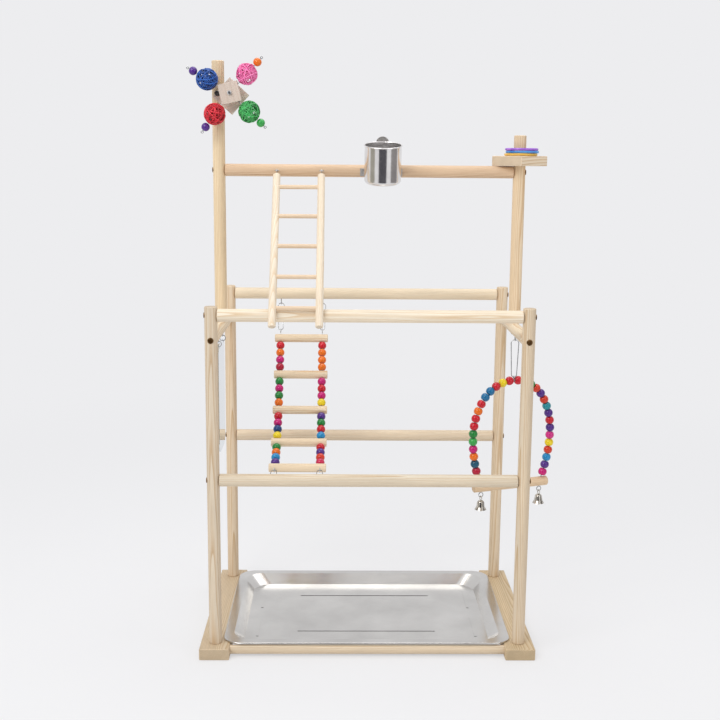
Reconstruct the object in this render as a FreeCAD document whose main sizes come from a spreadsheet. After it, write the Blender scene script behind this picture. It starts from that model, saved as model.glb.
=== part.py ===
import FreeCAD, Part
import math
import os
import Sketcher
from FreeCAD import Placement, Rotation, Vector

# A play stand for a parrot: a frame of pine dowels on two base boards, a tray on
# the boards, two upper posts with a perch, and the toys that hang from it.
# Front is -Y, up is +Z, and the floor is Z = 0. The swing reaches further out
# than the pinwheel, so the frame's middle lies a little left of the origin.

doc = FreeCAD.newDocument("PlayStand")
sheet = doc.addObject("Spreadsheet::Sheet", "Sizes")

SIZES = (
    # the frame
    ("middle_x", -17.8),  # the frame's middle, from the origin
    ("leg_spacing", 614.0),  # left leg to right leg, on centres
    ("leg_depth", 370.0),  # front leg to back leg, on centres
    ("dowel_diameter", 25.0),  # legs, posts, rails and perches
    ("leg_length", 685.0),
    ("end_chamfer", 1.2),
    ("seat_gap", 0.05),  # between a flat-cut end and the round it butts on
    ("board_length", 440.0),
    ("board_width", 60.0),
    ("board_thickness", 23.5),
    ("board_chamfer", 1.5),
    ("cross_dowel_diameter", 18.0),
    ("cross_dowel_spacing", 394.0),  # front cross dowel to back one
    ("cross_dowel_z", 13.5),
    ("cross_dowel_socket", 14.0),  # how deep its ends sit in the boards
    ("glue_gap", 0.1),
    ("top_perch_drop", 17.0),  # the top perches' middle, below the legs' tops
    ("side_rail_drop", 48.0),  # below the top perches
    ("mid_perch_drop", 328.0),
    ("upper_perch_rise", 322.0),  # above the side rails
    ("left_post_rise", 216.0),  # above the upper perch
    ("right_post_rise", 74.0),
    # the frame's screws, all alike, and the screw eyes
    ("screw_length", 50.0),
    ("screw_diameter", 5.0),
    ("screw_head_diameter", 11.5),
    ("screw_head_height", 3.0),
    ("screw_head_round", 1.35),
    ("screw_socket_width", 4.4),
    ("screw_socket_depth", 1.8),
    ("screw_seat", 1.7),  # depth of the flat seat in the dowel's round side
    ("board_seat", 6.0),  # depth of the seat under a base board
    ("head_clearance", 0.3),
    ("eye_radius", 4.2),  # a ring's middle line
    ("eye_wire", 1.8),
    ("eye_reach", 8.0),  # ring centre from the wood
    ("eye_thread_diameter", 2.2),
    ("eye_thread_length", 9.0),
    ("link_gap", 0.3),  # between two linked wires
    # tray
    ("tray_side_gap", 2.5),  # to the legs
    ("tray_depth", 404.0),
    ("tray_y", 3.0),
    ("tray_flange", 17.6),
    ("tray_wall_run", 20.0),
    ("tray_hollow", 20.5),  # rim to floor
    ("tray_rest_gap", 0.3),
    ("tray_sheet", 0.8),
    ("tray_edge_roll", 4.0),
    ("tray_corner", 38.0),
    ("tray_rib_height", 0.7),
    ("tray_rib_width", 5.0),
    ("tray_long_rib", 290.0),
    ("tray_long_rib_y", 97.0),
    ("tray_short_rib", 100.0),
    ("tray_short_rib_x", 228.0),
    ("tray_short_rib_y", 75.0),
    # cup and its bracket
    ("cup_x", 25.0),  # from the frame's middle
    ("cup_tilt", 11.0),
    ("cup_diameter", 74.0),
    ("cup_height", 76.0),
    ("cup_sheet", 0.8),
    ("cup_bottom_fillet", 8.0),
    ("cup_rim_roll", 2.4),
    ("cup_drop", 14.0),  # bottom of the cup below the perch's middle
    ("strap_sheet", 1.2),
    ("strap_gap", 0.3),
    ("clip_spacing", 56.0),
    ("clip_width", 10.0),
    ("clip_mouth", 12.0),
    ("tab_width", 26.0),
    ("tab_rise", 11.0),  # above the rim
    ("strap_height", 16.0),
    ("strap_length", 86.0),
    ("strap_shift", -1.5),
    # pinwheel
    ("pinwheel_offset", 27.0),  # from the left post's middle
    ("pinwheel_drop", 65.0),  # below the left post's top
    ("back_plate_side", 52.0),
    ("back_plate_turn", 48.0),
    ("back_plate_drop", 5.0),
    ("back_plate_thickness", 6.0),
    ("hub_side", 40.0),
    ("plate_screw_hold", 17.5),  # depth of the plate's screw in the post
    ("hub_turn", 13.4),
    ("hub_thickness", 8.0),
    ("hub_y", 27.5),  # hub's middle, in front of the post's round
    ("bolt_diameter", 5.0),
    ("bolt_head_width", 9.0),
    ("bolt_head_height", 3.0),
    ("bolt_end", 2.0),
    ("nut_width", 8.0),
    ("nut_height", 3.5),
    ("running_gap", 0.1),
    ("spin_gap", 0.4),
    ("arm_wire", 2.0),
    ("arm_loop_wire", 1.6),
    ("arm_hold", 10.0),  # length held in the hub
    ("arm_bore_gap", 0.5),
    ("arm_angle_pink", 47.0),
    ("arm_angle_blue", 150.0),
    ("arm_angle_red", 234.0),
    ("arm_angle_green", 316.6),
    ("ball_diameter", 45.0),
    ("ball_distance_pink", 50.0),  # ball centre from the hub's middle
    ("ball_distance_blue", 51.4),
    ("ball_distance_red", 51.4),
    ("ball_distance_green", 53.0),
    ("arm_bead_diameter", 17.0),
    ("arm_bead_length", 16.0),
    ("arm_loop_radius", 2.2),
    # ring block and rings
    ("block_side", 80.0),
    ("block_thickness", 20.0),
    ("block_turn", 40.0),
    ("block_chamfer", 1.0),
    ("block_bore_gap", 0.4),
    ("ring_diameter", 68.0),
    ("ring_thickness", 5.0),
    ("ring_shift_yellow", 2.0),
    ("ring_shift_blue", 5.0),
    ("ring_shift_purple", 3.5),
    # rigid ladder
    ("ladder_x", -143.0),  # from the frame's middle
    ("ladder_width", 90.0),
    ("ladder_rail_diameter", 15.0),
    ("ladder_rail_length", 341.0),
    ("ladder_rung_diameter", 8.5),
    ("ladder_rung_first", 29.0),  # first rung from the rails' top ends
    ("ladder_rung_pitch", 68.0),
    ("ladder_rung_count", 5),
    ("ladder_rung_hold", 8.0),
    # bead ladder
    ("bead_ladder_x", -145.0),
    ("string_spacing", 93.0),
    ("string_diameter", 2.0),
    ("rung_diameter", 18.0),
    ("rung_length", 118.0),
    ("rung_pitch", 86.0),
    ("rung_count", 5),
    ("first_link", 84.0),  # upper screw eye to the first rung
    ("last_link", 75.0),  # last rung to the lower screw eye
    ("bead_diameter", 18.6),
    ("bead_length", 15.2),
    ("bead_bore", 2.6),
    ("beads_per_span", 4),
    ("hook_wire", 1.8),
    ("hook_wide_radius", 7.0),
    ("hook_narrow_radius", 5.0),
    # swing
    ("swing_y", -20.0),
    ("swing_turn", 20.0),
    ("swing_hook_length", 79.0),
    ("swing_hook_wide_radius", 8.0),
    ("swing_hook_narrow_radius", 5.5),
    ("arch_wire", 2.4),
    ("arch_top_radius", 83.5),
    ("arch_shoulder_radius", 147.0),
    ("arch_leg_radius", 288.6),
    ("arch_shoulder_angle", 60.0),
    ("arch_leg_angle", 22.6),
    ("arch_bead_pitch", 16.4),
    ("arch_bead_count", 32),
    ("arch_middle_gap", 4.0),
    ("bar_diameter", 20.0),
    ("bar_length", 175.0),
    ("bar_bore_gap", 0.8),
    ("bell_loop_radius", 5.0),
    ("bell_loop_drop", 6.5),
    ("bell_diameter", 25.0),
    ("bell_height", 20.0),
    ("bell_sheet", 0.9),
    ("bell_eye_radius", 4.5),
    ("clapper_diameter", 7.0),
    ("clapper_wire", 1.4),
    ("clapper_drop", 21.0),
    # mirror under the left side rail
    ("mirror_y", -20.0),
    ("mirror_width", 112.0),
    ("mirror_height", 228.0),
    ("mirror_thickness", 3.0),
    ("mirror_corner", 24.0),
    ("mirror_hole_spacing", 80.0),
    ("mirror_hole_diameter", 5.0),
    ("mirror_hole_inset", 7.0),
    ("mirror_ring_radius", 6.0),
)

# Sizes that follow from the ones above.
DERIVED = (
    ("top_perch_z", "board_thickness + leg_length - top_perch_drop"),
    ("side_rail_z", "top_perch_z - side_rail_drop"),
    ("mid_perch_z", "top_perch_z - mid_perch_drop"),
    ("upper_perch_z", "side_rail_z + upper_perch_rise"),
    ("left_post_top", "upper_perch_z + left_post_rise"),
    ("right_post_top", "upper_perch_z + right_post_rise"),
    ("pinwheel_z", "left_post_top - pinwheel_drop"),
    ("tray_width", "leg_spacing - dowel_diameter - 2 * tray_side_gap"),
    ("tray_top", "board_thickness + tray_rest_gap + tray_edge_roll"),
    ("tray_floor_z", "tray_top - tray_hollow"),
    ("block_seat", "upper_perch_z + dowel_diameter / 2 + link_gap"),
)

for row, (alias, value) in enumerate(SIZES, start=1):
    sheet.set("A%d" % row, str(value))
    sheet.setAlias("A%d" % row, alias)
for row, (alias, formula) in enumerate(DERIVED, start=1):
    sheet.set("B%d" % row, "=" + formula)
    sheet.setAlias("B%d" % row, alias)
doc.recompute()

parts = []

LEFT = "(Sizes.middle_x - Sizes.leg_spacing / 2)"
RIGHT = "(Sizes.middle_x + Sizes.leg_spacing / 2)"
FRONT = "(-Sizes.leg_depth / 2)"
BACK = "(Sizes.leg_depth / 2)"
DOWEL_RADIUS = "(Sizes.dowel_diameter / 2)"

UPRIGHT = Rotation()
TO_RIGHT = Rotation(Vector(0, 1, 0), 90)
TO_LEFT = Rotation(Vector(0, 1, 0), -90)
TO_BACK = Rotation(Vector(1, 0, 0), -90)
TO_FRONT = Rotation(Vector(1, 0, 0), 90)
DOWN = Rotation(Vector(1, 0, 0), 180)


# ---------------------------------------------------------------- helpers


def size(name):
    """A size from the sheet, as a plain number."""
    return float(getattr(sheet, name))


def bind(thing, **sizes):
    """Tie a piece's own sizes to the sheet."""
    for prop, expression in sizes.items():
        thing.setExpression(prop, str(expression))


def put(thing, x, y, z, turn=UPRIGHT):
    """Turn a piece, and tie its place to the sheet."""
    thing.Placement = Placement(Vector(), turn)
    for axis, expression in zip("xyz", (x, y, z)):
        thing.setExpression("Placement.Base." + axis, str(expression))


def new_body(label):
    body = doc.addObject("PartDesign::Body", label)
    body.Label = label
    parts.append(body)
    return body


def step(body, kind, name, **sizes):
    """One feature of a body, with its sizes tied to the sheet."""
    feature = body.newObject("PartDesign::" + kind, body.Label + "_" + name)
    bind(feature, **sizes)
    return feature


def edges_of(shape, test):
    """The names of the edges that pass a test."""
    return ["Edge%d" % n for n, edge in enumerate(shape.Edges, start=1) if test(edge)]


def chamfer(body, base, amount, test):
    doc.recompute()
    cut = step(body, "Chamfer", "chamfer", Size=amount)
    cut.Base = (base, edges_of(base.Shape, test))
    return cut


def is_circle(edge):
    return edge.Curve.TypeId == "Part::GeomCircle"


def dowel(label, diameter, length, x, y, z, turn=UPRIGHT, bevel="Sizes.end_chamfer"):
    """A round wooden dowel with bevelled ends, along its own Z."""
    body = new_body(label)
    stock = step(body, "AdditiveCylinder", "stock", Radius=diameter + " / 2", Height=length)
    chamfer(body, stock, bevel, is_circle)
    put(body, x, y, z, turn)
    return body


def drill(body, name, diameter, depth, x, y, z, turn):
    """A round hole in a body, given in the body's own frame."""
    hole = step(body, "SubtractiveCylinder", name, Radius="(%s) / 2" % diameter, Height=depth)
    put(hole, x, y, z, turn)
    return hole


def made(label, shape, placement=None):
    """A piece whose form no standard feature makes, such as bent wire."""
    piece = doc.addObject("Part::Feature", label)
    piece.Label = label
    piece.Shape = shape
    if placement is not None:
        piece.Placement = placement
    parts.append(piece)
    return piece


def rod(start, finish, radius):
    """A round rod between two points."""
    along = finish - start
    return Part.makeCylinder(radius, along.Length, start, along)


def ring(centre, normal, radius, wire):
    """A closed wire ring; radius is its middle line's, wire its thickness."""
    return Part.makeTorus(radius, wire / 2, centre, normal)


def bead(centre, along, diameter, length, bore):
    """A ball with a bore through it, and flats round the bore's ends."""
    ball = Part.makeSphere(diameter / 2)
    between_flats = Part.makeCylinder(diameter, length, Vector(0, 0, -length / 2))
    hole = Part.makeCylinder(bore / 2, 2 * diameter, Vector(0, 0, -diameter))
    return placed(ball.common(between_flats).cut(hole), centre, along)


def placed(shape, point, direction):
    """A copy of a shape with its own +Z turned to a direction."""
    copy = shape.copy()
    copy.Placement = Placement(point, Rotation(Vector(0, 0, 1), direction))
    return copy


def bent_wire(path, wire):
    """A round wire along a path of lines and arcs."""
    first = path.Edges[0]
    start = first.valueAt(first.FirstParameter)
    along = first.tangentAt(first.FirstParameter)
    section = Part.Wire(Part.makeCircle(wire / 2, start, along))
    return path.makePipeShell([section], True, False)


# ---------------------------------------------------------------- wooden frame

SCREW_HOLE = "Sizes.screw_diameter"
SCREW_SEAT = "Sizes.screw_head_diameter + 2 * Sizes.head_clearance"
SCREW_INTO = "(Sizes.screw_length - Sizes.dowel_diameter + Sizes.screw_seat)"
EYE_HOLE = "Sizes.eye_thread_diameter + Sizes.glue_gap"


def screw_across(body, name, height, side, along_y=False):
    """A screw's hole straight through an upright dowel, seated on its outer side."""
    turn_out = (TO_BACK if side > 0 else TO_FRONT) if along_y else (TO_RIGHT if side > 0 else TO_LEFT)
    start = "%d * %s" % (-side, DOWEL_RADIUS)
    seat = "%d * (%s - Sizes.screw_seat)" % (side, DOWEL_RADIUS)
    for part_name, diameter, depth, offset in (
        ("hole", SCREW_HOLE, "Sizes.dowel_diameter", start),
        ("seat", SCREW_SEAT, "Sizes.screw_seat * 2", seat),
    ):
        x, y = ("0", offset) if along_y else (offset, "0")
        drill(body, name + "_" + part_name, diameter, depth, x, y, height, turn_out)


def end_pilots(body, length):
    """The pilot holes in a rail's two ends, for the screws through the uprights."""
    drill(body, "pilot_start", SCREW_HOLE, SCREW_INTO, "0", "0", "0", UPRIGHT)
    drill(body, "pilot_end", SCREW_HOLE, SCREW_INTO, "0", "0", length, DOWN)


def base_board(side_name, x, inner):
    body = new_body("base_board_" + side_name)
    stock = step(
        body,
        "AdditiveBox",
        "stock",
        Length="Sizes.board_width",
        Width="Sizes.board_length",
        Height="Sizes.board_thickness",
    )
    put(stock, "-Sizes.board_width / 2", "-Sizes.board_length / 2", "0")
    chamfer(body, stock, "Sizes.board_chamfer", lambda edge: True)
    for place, y in (("front", FRONT), ("back", BACK)):
        drill(body, "leg_hole_" + place, SCREW_HOLE, "Sizes.board_thickness", "0", y, "0", UPRIGHT)
        drill(body, "leg_seat_" + place, SCREW_SEAT, "Sizes.board_seat", "0", y, "0", UPRIGHT)
    for place, sign in (("front", -1), ("back", 1)):
        drill(
            body,
            "socket_" + place,
            "Sizes.cross_dowel_diameter + 2 * Sizes.glue_gap",
            "Sizes.cross_dowel_socket + Sizes.glue_gap",
            "%d * Sizes.board_width / 2" % inner,
            "%d * Sizes.cross_dowel_spacing / 2" % sign,
            "Sizes.cross_dowel_z",
            TO_LEFT if inner > 0 else TO_RIGHT,
        )
    put(body, x, "0", "0")


base_board("left", LEFT, 1)
base_board("right", RIGHT, -1)

for place, sign in (("front", -1), ("back", 1)):
    dowel(
        "cross_dowel_" + place,
        "Sizes.cross_dowel_diameter",
        "Sizes.leg_spacing - Sizes.board_width + 2 * Sizes.cross_dowel_socket",
        LEFT + " + Sizes.board_width / 2 - Sizes.cross_dowel_socket",
        "%d * Sizes.cross_dowel_spacing / 2" % sign,
        "Sizes.cross_dowel_z",
        TO_RIGHT,
    )


def leg(place, side_name, x, y, outer, away):
    """A leg; outer is the side, left or right, that its perch screws go in from."""
    body = dowel(
        "leg_%s_%s" % (place, side_name),
        "Sizes.dowel_diameter",
        "Sizes.leg_length",
        x,
        y,
        "Sizes.board_thickness",
    )
    from_below = "Sizes.screw_length - Sizes.board_thickness + Sizes.board_seat"
    drill(body, "foot_pilot", SCREW_HOLE, from_below, "0", "0", "0", UPRIGHT)
    screw_across(body, "top", "Sizes.top_perch_z - Sizes.board_thickness", outer)
    screw_across(body, "mid", "Sizes.mid_perch_z - Sizes.board_thickness", outer)
    screw_across(body, "rail", "Sizes.side_rail_z - Sizes.board_thickness", away, along_y=True)


for place, y, away in (("front", FRONT, -1), ("back", BACK, 1)):
    for side_name, x, outer in (("left", LEFT, -1), ("right", RIGHT, 1)):
        leg(place, side_name, x, y, outer, away)

PERCH_LENGTH = "Sizes.leg_spacing - Sizes.dowel_diameter - 2 * Sizes.seat_gap"
RAIL_LENGTH = "Sizes.leg_depth - Sizes.dowel_diameter - 2 * Sizes.seat_gap"
PERCH_START = LEFT + " + " + DOWEL_RADIUS + " + Sizes.seat_gap"


def perch(label, y, z):
    body = dowel(label, "Sizes.dowel_diameter", PERCH_LENGTH, PERCH_START, y, z, TO_RIGHT)
    end_pilots(body, PERCH_LENGTH)
    return body


def eye_pilots(body, name, centre, spread, radial_x, radial_y, turn):
    """Two pilot holes for screw eyes, across a perch; its own Z runs along it."""
    for hand, sign in (("left", -1), ("right", 1)):
        along = "%s + %d * Sizes.%s / 2 + Sizes.leg_spacing / 2 - %s - Sizes.seat_gap" % (
            centre,
            sign,
            spread,
            DOWEL_RADIUS,
        )
        drill(body, name + hand, EYE_HOLE, "Sizes.eye_thread_length", radial_x, radial_y, along, turn)


perch("perch_front_top", FRONT, "Sizes.top_perch_z")
perch_back_top = perch("perch_back_top", BACK, "Sizes.top_perch_z")
perch_front_mid = perch("perch_front_mid", FRONT, "Sizes.mid_perch_z")
perch("perch_back_mid", BACK, "Sizes.mid_perch_z")
perch_upper = perch("perch_upper", "0", "Sizes.upper_perch_z")

# In a perch's own frame, Z runs to the right, X points down and Y to the back.
BEAD_EYES = ("Sizes.bead_ladder_x", "string_spacing")
eye_pilots(perch_back_top, "eye_", *BEAD_EYES, DOWEL_RADIUS, "0", TO_LEFT)
eye_pilots(perch_front_mid, "eye_", *BEAD_EYES, "0", DOWEL_RADIUS, TO_FRONT)
eye_pilots(perch_upper, "eye_", "Sizes.ladder_x", "ladder_width", "0", "-" + DOWEL_RADIUS, TO_BACK)


def side_rail(side_name, x, eye_heights):
    body = dowel(
        "side_rail_" + side_name,
        "Sizes.dowel_diameter",
        RAIL_LENGTH,
        x,
        FRONT + " + " + DOWEL_RADIUS + " + Sizes.seat_gap",
        "Sizes.side_rail_z",
        TO_BACK,
    )
    end_pilots(body, RAIL_LENGTH)
    # In the rail's own frame, Z runs to the back and Y points down.
    middle = "(%s) / 2" % RAIL_LENGTH
    drill(body, "post_hole", SCREW_HOLE, "Sizes.dowel_diameter", "0", "-" + DOWEL_RADIUS, middle, TO_BACK)
    seat = DOWEL_RADIUS + " - Sizes.screw_seat"
    drill(body, "post_seat", SCREW_SEAT, "Sizes.screw_seat * 2", "0", seat, middle, TO_BACK)
    for number, place in enumerate(eye_heights):
        along = middle + " + " + place
        name = "eye_%d" % number
        drill(body, name, EYE_HOLE, "Sizes.eye_thread_length", "0", DOWEL_RADIUS, along, TO_FRONT)


MIRROR_EYES = [
    "Sizes.mirror_y - Sizes.mirror_hole_spacing / 2",
    "Sizes.mirror_y + Sizes.mirror_hole_spacing / 2",
]
side_rail("left", LEFT, MIRROR_EYES)
side_rail("right", RIGHT, ["Sizes.swing_y"])


def post(side_name, x, top, outer):
    foot = "(Sizes.side_rail_z + " + DOWEL_RADIUS + " + Sizes.seat_gap)"
    body = dowel(
        "post_" + side_name,
        "Sizes.dowel_diameter",
        top + " - " + foot,
        x,
        "0",
        foot,
    )
    drill(body, "foot_pilot", SCREW_HOLE, SCREW_INTO, "0", "0", "0", UPRIGHT)
    screw_across(body, "perch", "Sizes.upper_perch_z - " + foot, outer)
    return body, foot


post_left, post_foot = post("left", LEFT, "Sizes.left_post_top", -1)
post("right", RIGHT, "Sizes.right_post_top", 1)

# ---------------------------------------------------------------- plain numbers

left = size("middle_x") - size("leg_spacing") / 2
right = size("middle_x") + size("leg_spacing") / 2
front = -size("leg_depth") / 2
back = size("leg_depth") / 2
dowel_radius = size("dowel_diameter") / 2

# ---------------------------------------------------------------- screws and screw eyes


def screw(length):
    """A round-headed screw down its own -Z, with the head above Z = 0."""
    head_height = size("screw_head_height")
    head = Part.makeCylinder(size("screw_head_diameter") / 2, head_height)
    rim = [edge for edge in head.Edges if is_circle(edge) and edge.BoundBox.ZMin > head_height / 2]
    head = head.makeFillet(size("screw_head_round"), rim)
    corner = size("screw_socket_width") / math.sqrt(3)
    hexagon = [
        Vector(corner * math.cos(math.radians(60 * n)), corner * math.sin(math.radians(60 * n)), head_height)
        for n in range(7)
    ]
    socket = Part.Face(Part.makePolygon(hexagon)).extrude(Vector(0, 0, -size("screw_socket_depth")))
    shank = Part.makeCylinder(size("screw_diameter") / 2, length, Vector(), Vector(0, 0, -1))
    return head.fuse(shank).cut(socket).removeSplitter()


def frame_screw_places():
    """Each screw's seat, and the way its head faces."""
    side_seat = dowel_radius - size("screw_seat")
    places = []
    for x, outer in ((left, -1), (right, 1)):
        out = Vector(outer, 0, 0)
        for y in (front, back):
            for z in (size("top_perch_z"), size("mid_perch_z")):
                places.append((Vector(x + outer * side_seat, y, z), out))
            places.append((Vector(x, y, size("board_seat")), Vector(0, 0, -1)))
        for y, away in ((front, -1), (back, 1)):
            places.append((Vector(x, y + away * side_seat, size("side_rail_z")), Vector(0, away, 0)))
        places.append((Vector(x + outer * side_seat, 0, size("upper_perch_z")), out))
        places.append((Vector(x, 0, size("side_rail_z") - side_seat), Vector(0, 0, -1)))
    return places


frame_screw = screw(size("screw_length"))
made("frame_screws", Part.makeCompound([placed(frame_screw, *place) for place in frame_screw_places()]))

eye_radius = size("eye_radius")
eye_wire = size("eye_wire")
eye_reach = size("eye_reach")
eye_pilot_radius = (size("eye_thread_diameter") + size("glue_gap")) / 2


def screw_eye(point, out, ring_normal):
    """A wire ring on a threaded stem; point is on the wood, out points away from it."""
    stem = rod(
        point - out * (size("eye_thread_length") - size("glue_gap")),
        point + out * (eye_reach - eye_radius),
        size("eye_thread_diameter") / 2,
    )
    return stem.fuse(ring(point + out * eye_reach, ring_normal, eye_radius, eye_wire))


def pair(centre, spread):
    return (centre - spread / 2, centre + spread / 2)


ladder_x = size("middle_x") + size("ladder_x")
bead_ladder_x = size("middle_x") + size("bead_ladder_x")
string_xs = pair(bead_ladder_x, size("string_spacing"))
rail_xs = pair(ladder_x, size("ladder_width"))
mirror_ys = pair(size("mirror_y"), size("mirror_hole_spacing"))
rail_bottom = size("side_rail_z") - dowel_radius
X_AXIS = Vector(1, 0, 0)
Y_AXIS = Vector(0, 1, 0)
Z_AXIS = Vector(0, 0, 1)


def screw_eye_places():
    """Point on the wood, the way out of it, and the ring's normal."""
    places = []
    for x in rail_xs:
        places.append((Vector(x, -dowel_radius, size("upper_perch_z")), -Y_AXIS, Z_AXIS))
    for x in string_xs:
        places.append((Vector(x, back, size("top_perch_z") - dowel_radius), -Z_AXIS, X_AXIS))
        places.append((Vector(x, front + dowel_radius, size("mid_perch_z")), Y_AXIS, X_AXIS))
    for y in mirror_ys:
        places.append((Vector(left, y, rail_bottom), -Z_AXIS, X_AXIS))
    places.append((Vector(right, size("swing_y"), rail_bottom), -Z_AXIS, X_AXIS))
    return places


made("screw_eyes", Part.makeCompound([screw_eye(*place) for place in screw_eye_places()]))

# ---------------------------------------------------------------- tray


def rounded_rectangle(body, name, width, depth, corner, height):
    """A sketch of a rectangle with round corners, about the body's own Z."""
    sketch = body.newObject("Sketcher::SketchObject", body.Label + "_" + name)
    plane = [p for p in body.Origin.OriginFeatures if p.Role == "XY_Plane"][0]
    sketch.AttachmentSupport = [(plane, "")]
    sketch.MapMode = "FlatFace"
    sketch.setExpression("AttachmentOffset.Base.z", height)
    half_w, half_d, radius = 100.0, 80.0, 20.0
    inner_w, inner_d = half_w - radius, half_d - radius
    lines = (
        ((-inner_w, -half_d), (inner_w, -half_d)),
        ((half_w, -inner_d), (half_w, inner_d)),
        ((inner_w, half_d), (-inner_w, half_d)),
        ((-half_w, inner_d), (-half_w, -inner_d)),
    )
    corners = (
        ((inner_w, -inner_d), -90, 0),
        ((inner_w, inner_d), 0, 90),
        ((-inner_w, inner_d), 90, 180),
        ((-inner_w, -inner_d), 180, 270),
    )
    for start, finish in lines:
        sketch.addGeometry(Part.LineSegment(Vector(*start, 0), Vector(*finish, 0)))
    for centre, first, last in corners:
        circle = Part.Circle(Vector(*centre, 0), Z_AXIS, radius)
        sketch.addGeometry(Part.ArcOfCircle(circle, math.radians(first), math.radians(last)))
    for side in range(4):
        arc = 4 + side
        following = (side + 1) % 4
        sketch.addConstraint(Sketcher.Constraint("Tangent", side, 2, arc, 1))
        sketch.addConstraint(Sketcher.Constraint("Tangent", arc, 2, following, 1))
        sketch.addConstraint(Sketcher.Constraint("Vertical" if side % 2 else "Horizontal", side))
        if side:
            sketch.addConstraint(Sketcher.Constraint("Equal", 4, arc))
    for key, kind, first, second, value, expression in (
        ("half_front", "DistanceY", (0, 1), (-1, 1), half_d, depth),
        ("half_right", "DistanceX", (-1, 1), (1, 1), half_w, width),
        ("half_back", "DistanceY", (-1, 1), (2, 1), half_d, depth),
        ("half_left", "DistanceX", (3, 1), (-1, 1), half_w, width),
    ):
        number = sketch.addConstraint(Sketcher.Constraint(kind, *first, *second, value))
        sketch.renameConstraint(number, key)
        sketch.setExpression("Constraints." + key, "(%s) / 2" % expression)
    number = sketch.addConstraint(Sketcher.Constraint("Radius", 4, radius))
    sketch.renameConstraint(number, "corner")
    sketch.setExpression("Constraints.corner", corner)
    return sketch


def on_tray_outline(edge):
    """A level edge of the tray's outer outline."""
    box = edge.BoundBox
    if box.ZLength > 0.01:
        return False
    if is_circle(edge):
        return abs(edge.Curve.Radius - size("tray_corner")) < 0.01
    reach_x = max(abs(box.XMin), abs(box.XMax))
    reach_y = max(abs(box.YMin), abs(box.YMax))
    return abs(reach_x - size("tray_width") / 2) < 0.01 or abs(reach_y - size("tray_depth") / 2) < 0.01


def tray():
    body = new_body("tray")
    top = "Sizes.tray_top"
    rest = top + " - Sizes.tray_edge_roll"
    floor = "Sizes.tray_floor_z"
    mouth_w = "Sizes.tray_width - 2 * Sizes.tray_flange"
    mouth_d = "Sizes.tray_depth - 2 * Sizes.tray_flange"
    floor_w = mouth_w + " - 2 * Sizes.tray_wall_run"
    floor_d = mouth_d + " - 2 * Sizes.tray_wall_run"
    corner = "Sizes.tray_corner"
    rim = rounded_rectangle(body, "rim", "Sizes.tray_width", "Sizes.tray_depth", corner, rest)
    slab = step(body, "Pad", "rolled_edge", Length="Sizes.tray_edge_roll")
    slab.Profile = rim
    inside = " - 2 * Sizes.tray_edge_roll"
    under = rounded_rectangle(
        body,
        "under_flange",
        "Sizes.tray_width" + inside,
        "Sizes.tray_depth" + inside,
        corner + " - Sizes.tray_edge_roll",
        rest,
    )
    relief = step(body, "Pocket", "relief", Length="Sizes.tray_edge_roll - Sizes.tray_sheet")
    relief.Profile = under
    relief.Reversed = True
    doc.recompute()
    outer = step(body, "Fillet", "edge_rounding", Radius="0.47 * Sizes.tray_edge_roll")
    outer.Base = (relief, edges_of(relief.Shape, on_tray_outline))
    low = rounded_rectangle(body, "pan_low", floor_w, floor_d, corner, floor)
    high = rounded_rectangle(body, "pan_high", mouth_w, mouth_d, corner, top)
    pan = step(body, "AdditiveLoft", "pan")
    pan.Profile = low
    pan.Sections = [high]
    pan.Ruled = True
    sheet_off = " - 2 * Sizes.tray_sheet"
    inner_low = rounded_rectangle(
        body, "hollow_low", floor_w + sheet_off, floor_d + sheet_off, corner, floor + " + Sizes.tray_sheet"
    )
    inner_high = rounded_rectangle(
        body, "hollow_high", mouth_w + sheet_off, mouth_d + sheet_off, corner, top + " + Sizes.tray_sheet"
    )
    hollow = step(body, "SubtractiveLoft", "hollow")
    hollow.Profile = inner_low
    hollow.Sections = [inner_high]
    hollow.Ruled = True
    rib_z = floor + " + Sizes.tray_sheet"
    long_rib = ("Sizes.tray_long_rib", "Sizes.tray_rib_width")
    short_rib = ("Sizes.tray_rib_width", "Sizes.tray_short_rib")
    places = [("long_%d" % sign, long_rib, "0", "%d * Sizes.tray_long_rib_y" % sign) for sign in (-1, 1)]
    for side in (-1, 1):
        for end in (-1, 1):
            x = "%d * Sizes.tray_short_rib_x" % side
            places.append(("short_%d_%d" % (side, end), short_rib, x, "%d * Sizes.tray_short_rib_y" % end))
    for name, (length, width), x, y in places:
        rib = step(body, "AdditiveBox", name, Length=length, Width=width, Height="Sizes.tray_rib_height")
        put(rib, "%s - %s / 2" % (x, length), "%s - %s / 2" % (y, width), rib_z)
    put(body, "Sizes.middle_x", "Sizes.tray_y", "0")
    return body


tray()

# ---------------------------------------------------------------- cup and bracket

# Both are drawn upright about the perch's middle line, and lean forward together.
strap_y = dowel_radius + size("strap_gap") + size("strap_sheet")
cup_reach = (size("cup_diameter") - size("cup_sheet")) / 2 + size("cup_rim_roll") * 0.75
cup_axis_y = -(strap_y + size("strap_gap") + cup_reach)
cup_lean = Rotation(X_AXIS, size("cup_tilt"))
cup_place = Placement(Vector(size("middle_x") + size("cup_x"), 0, size("upper_perch_z")), cup_lean)


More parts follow.
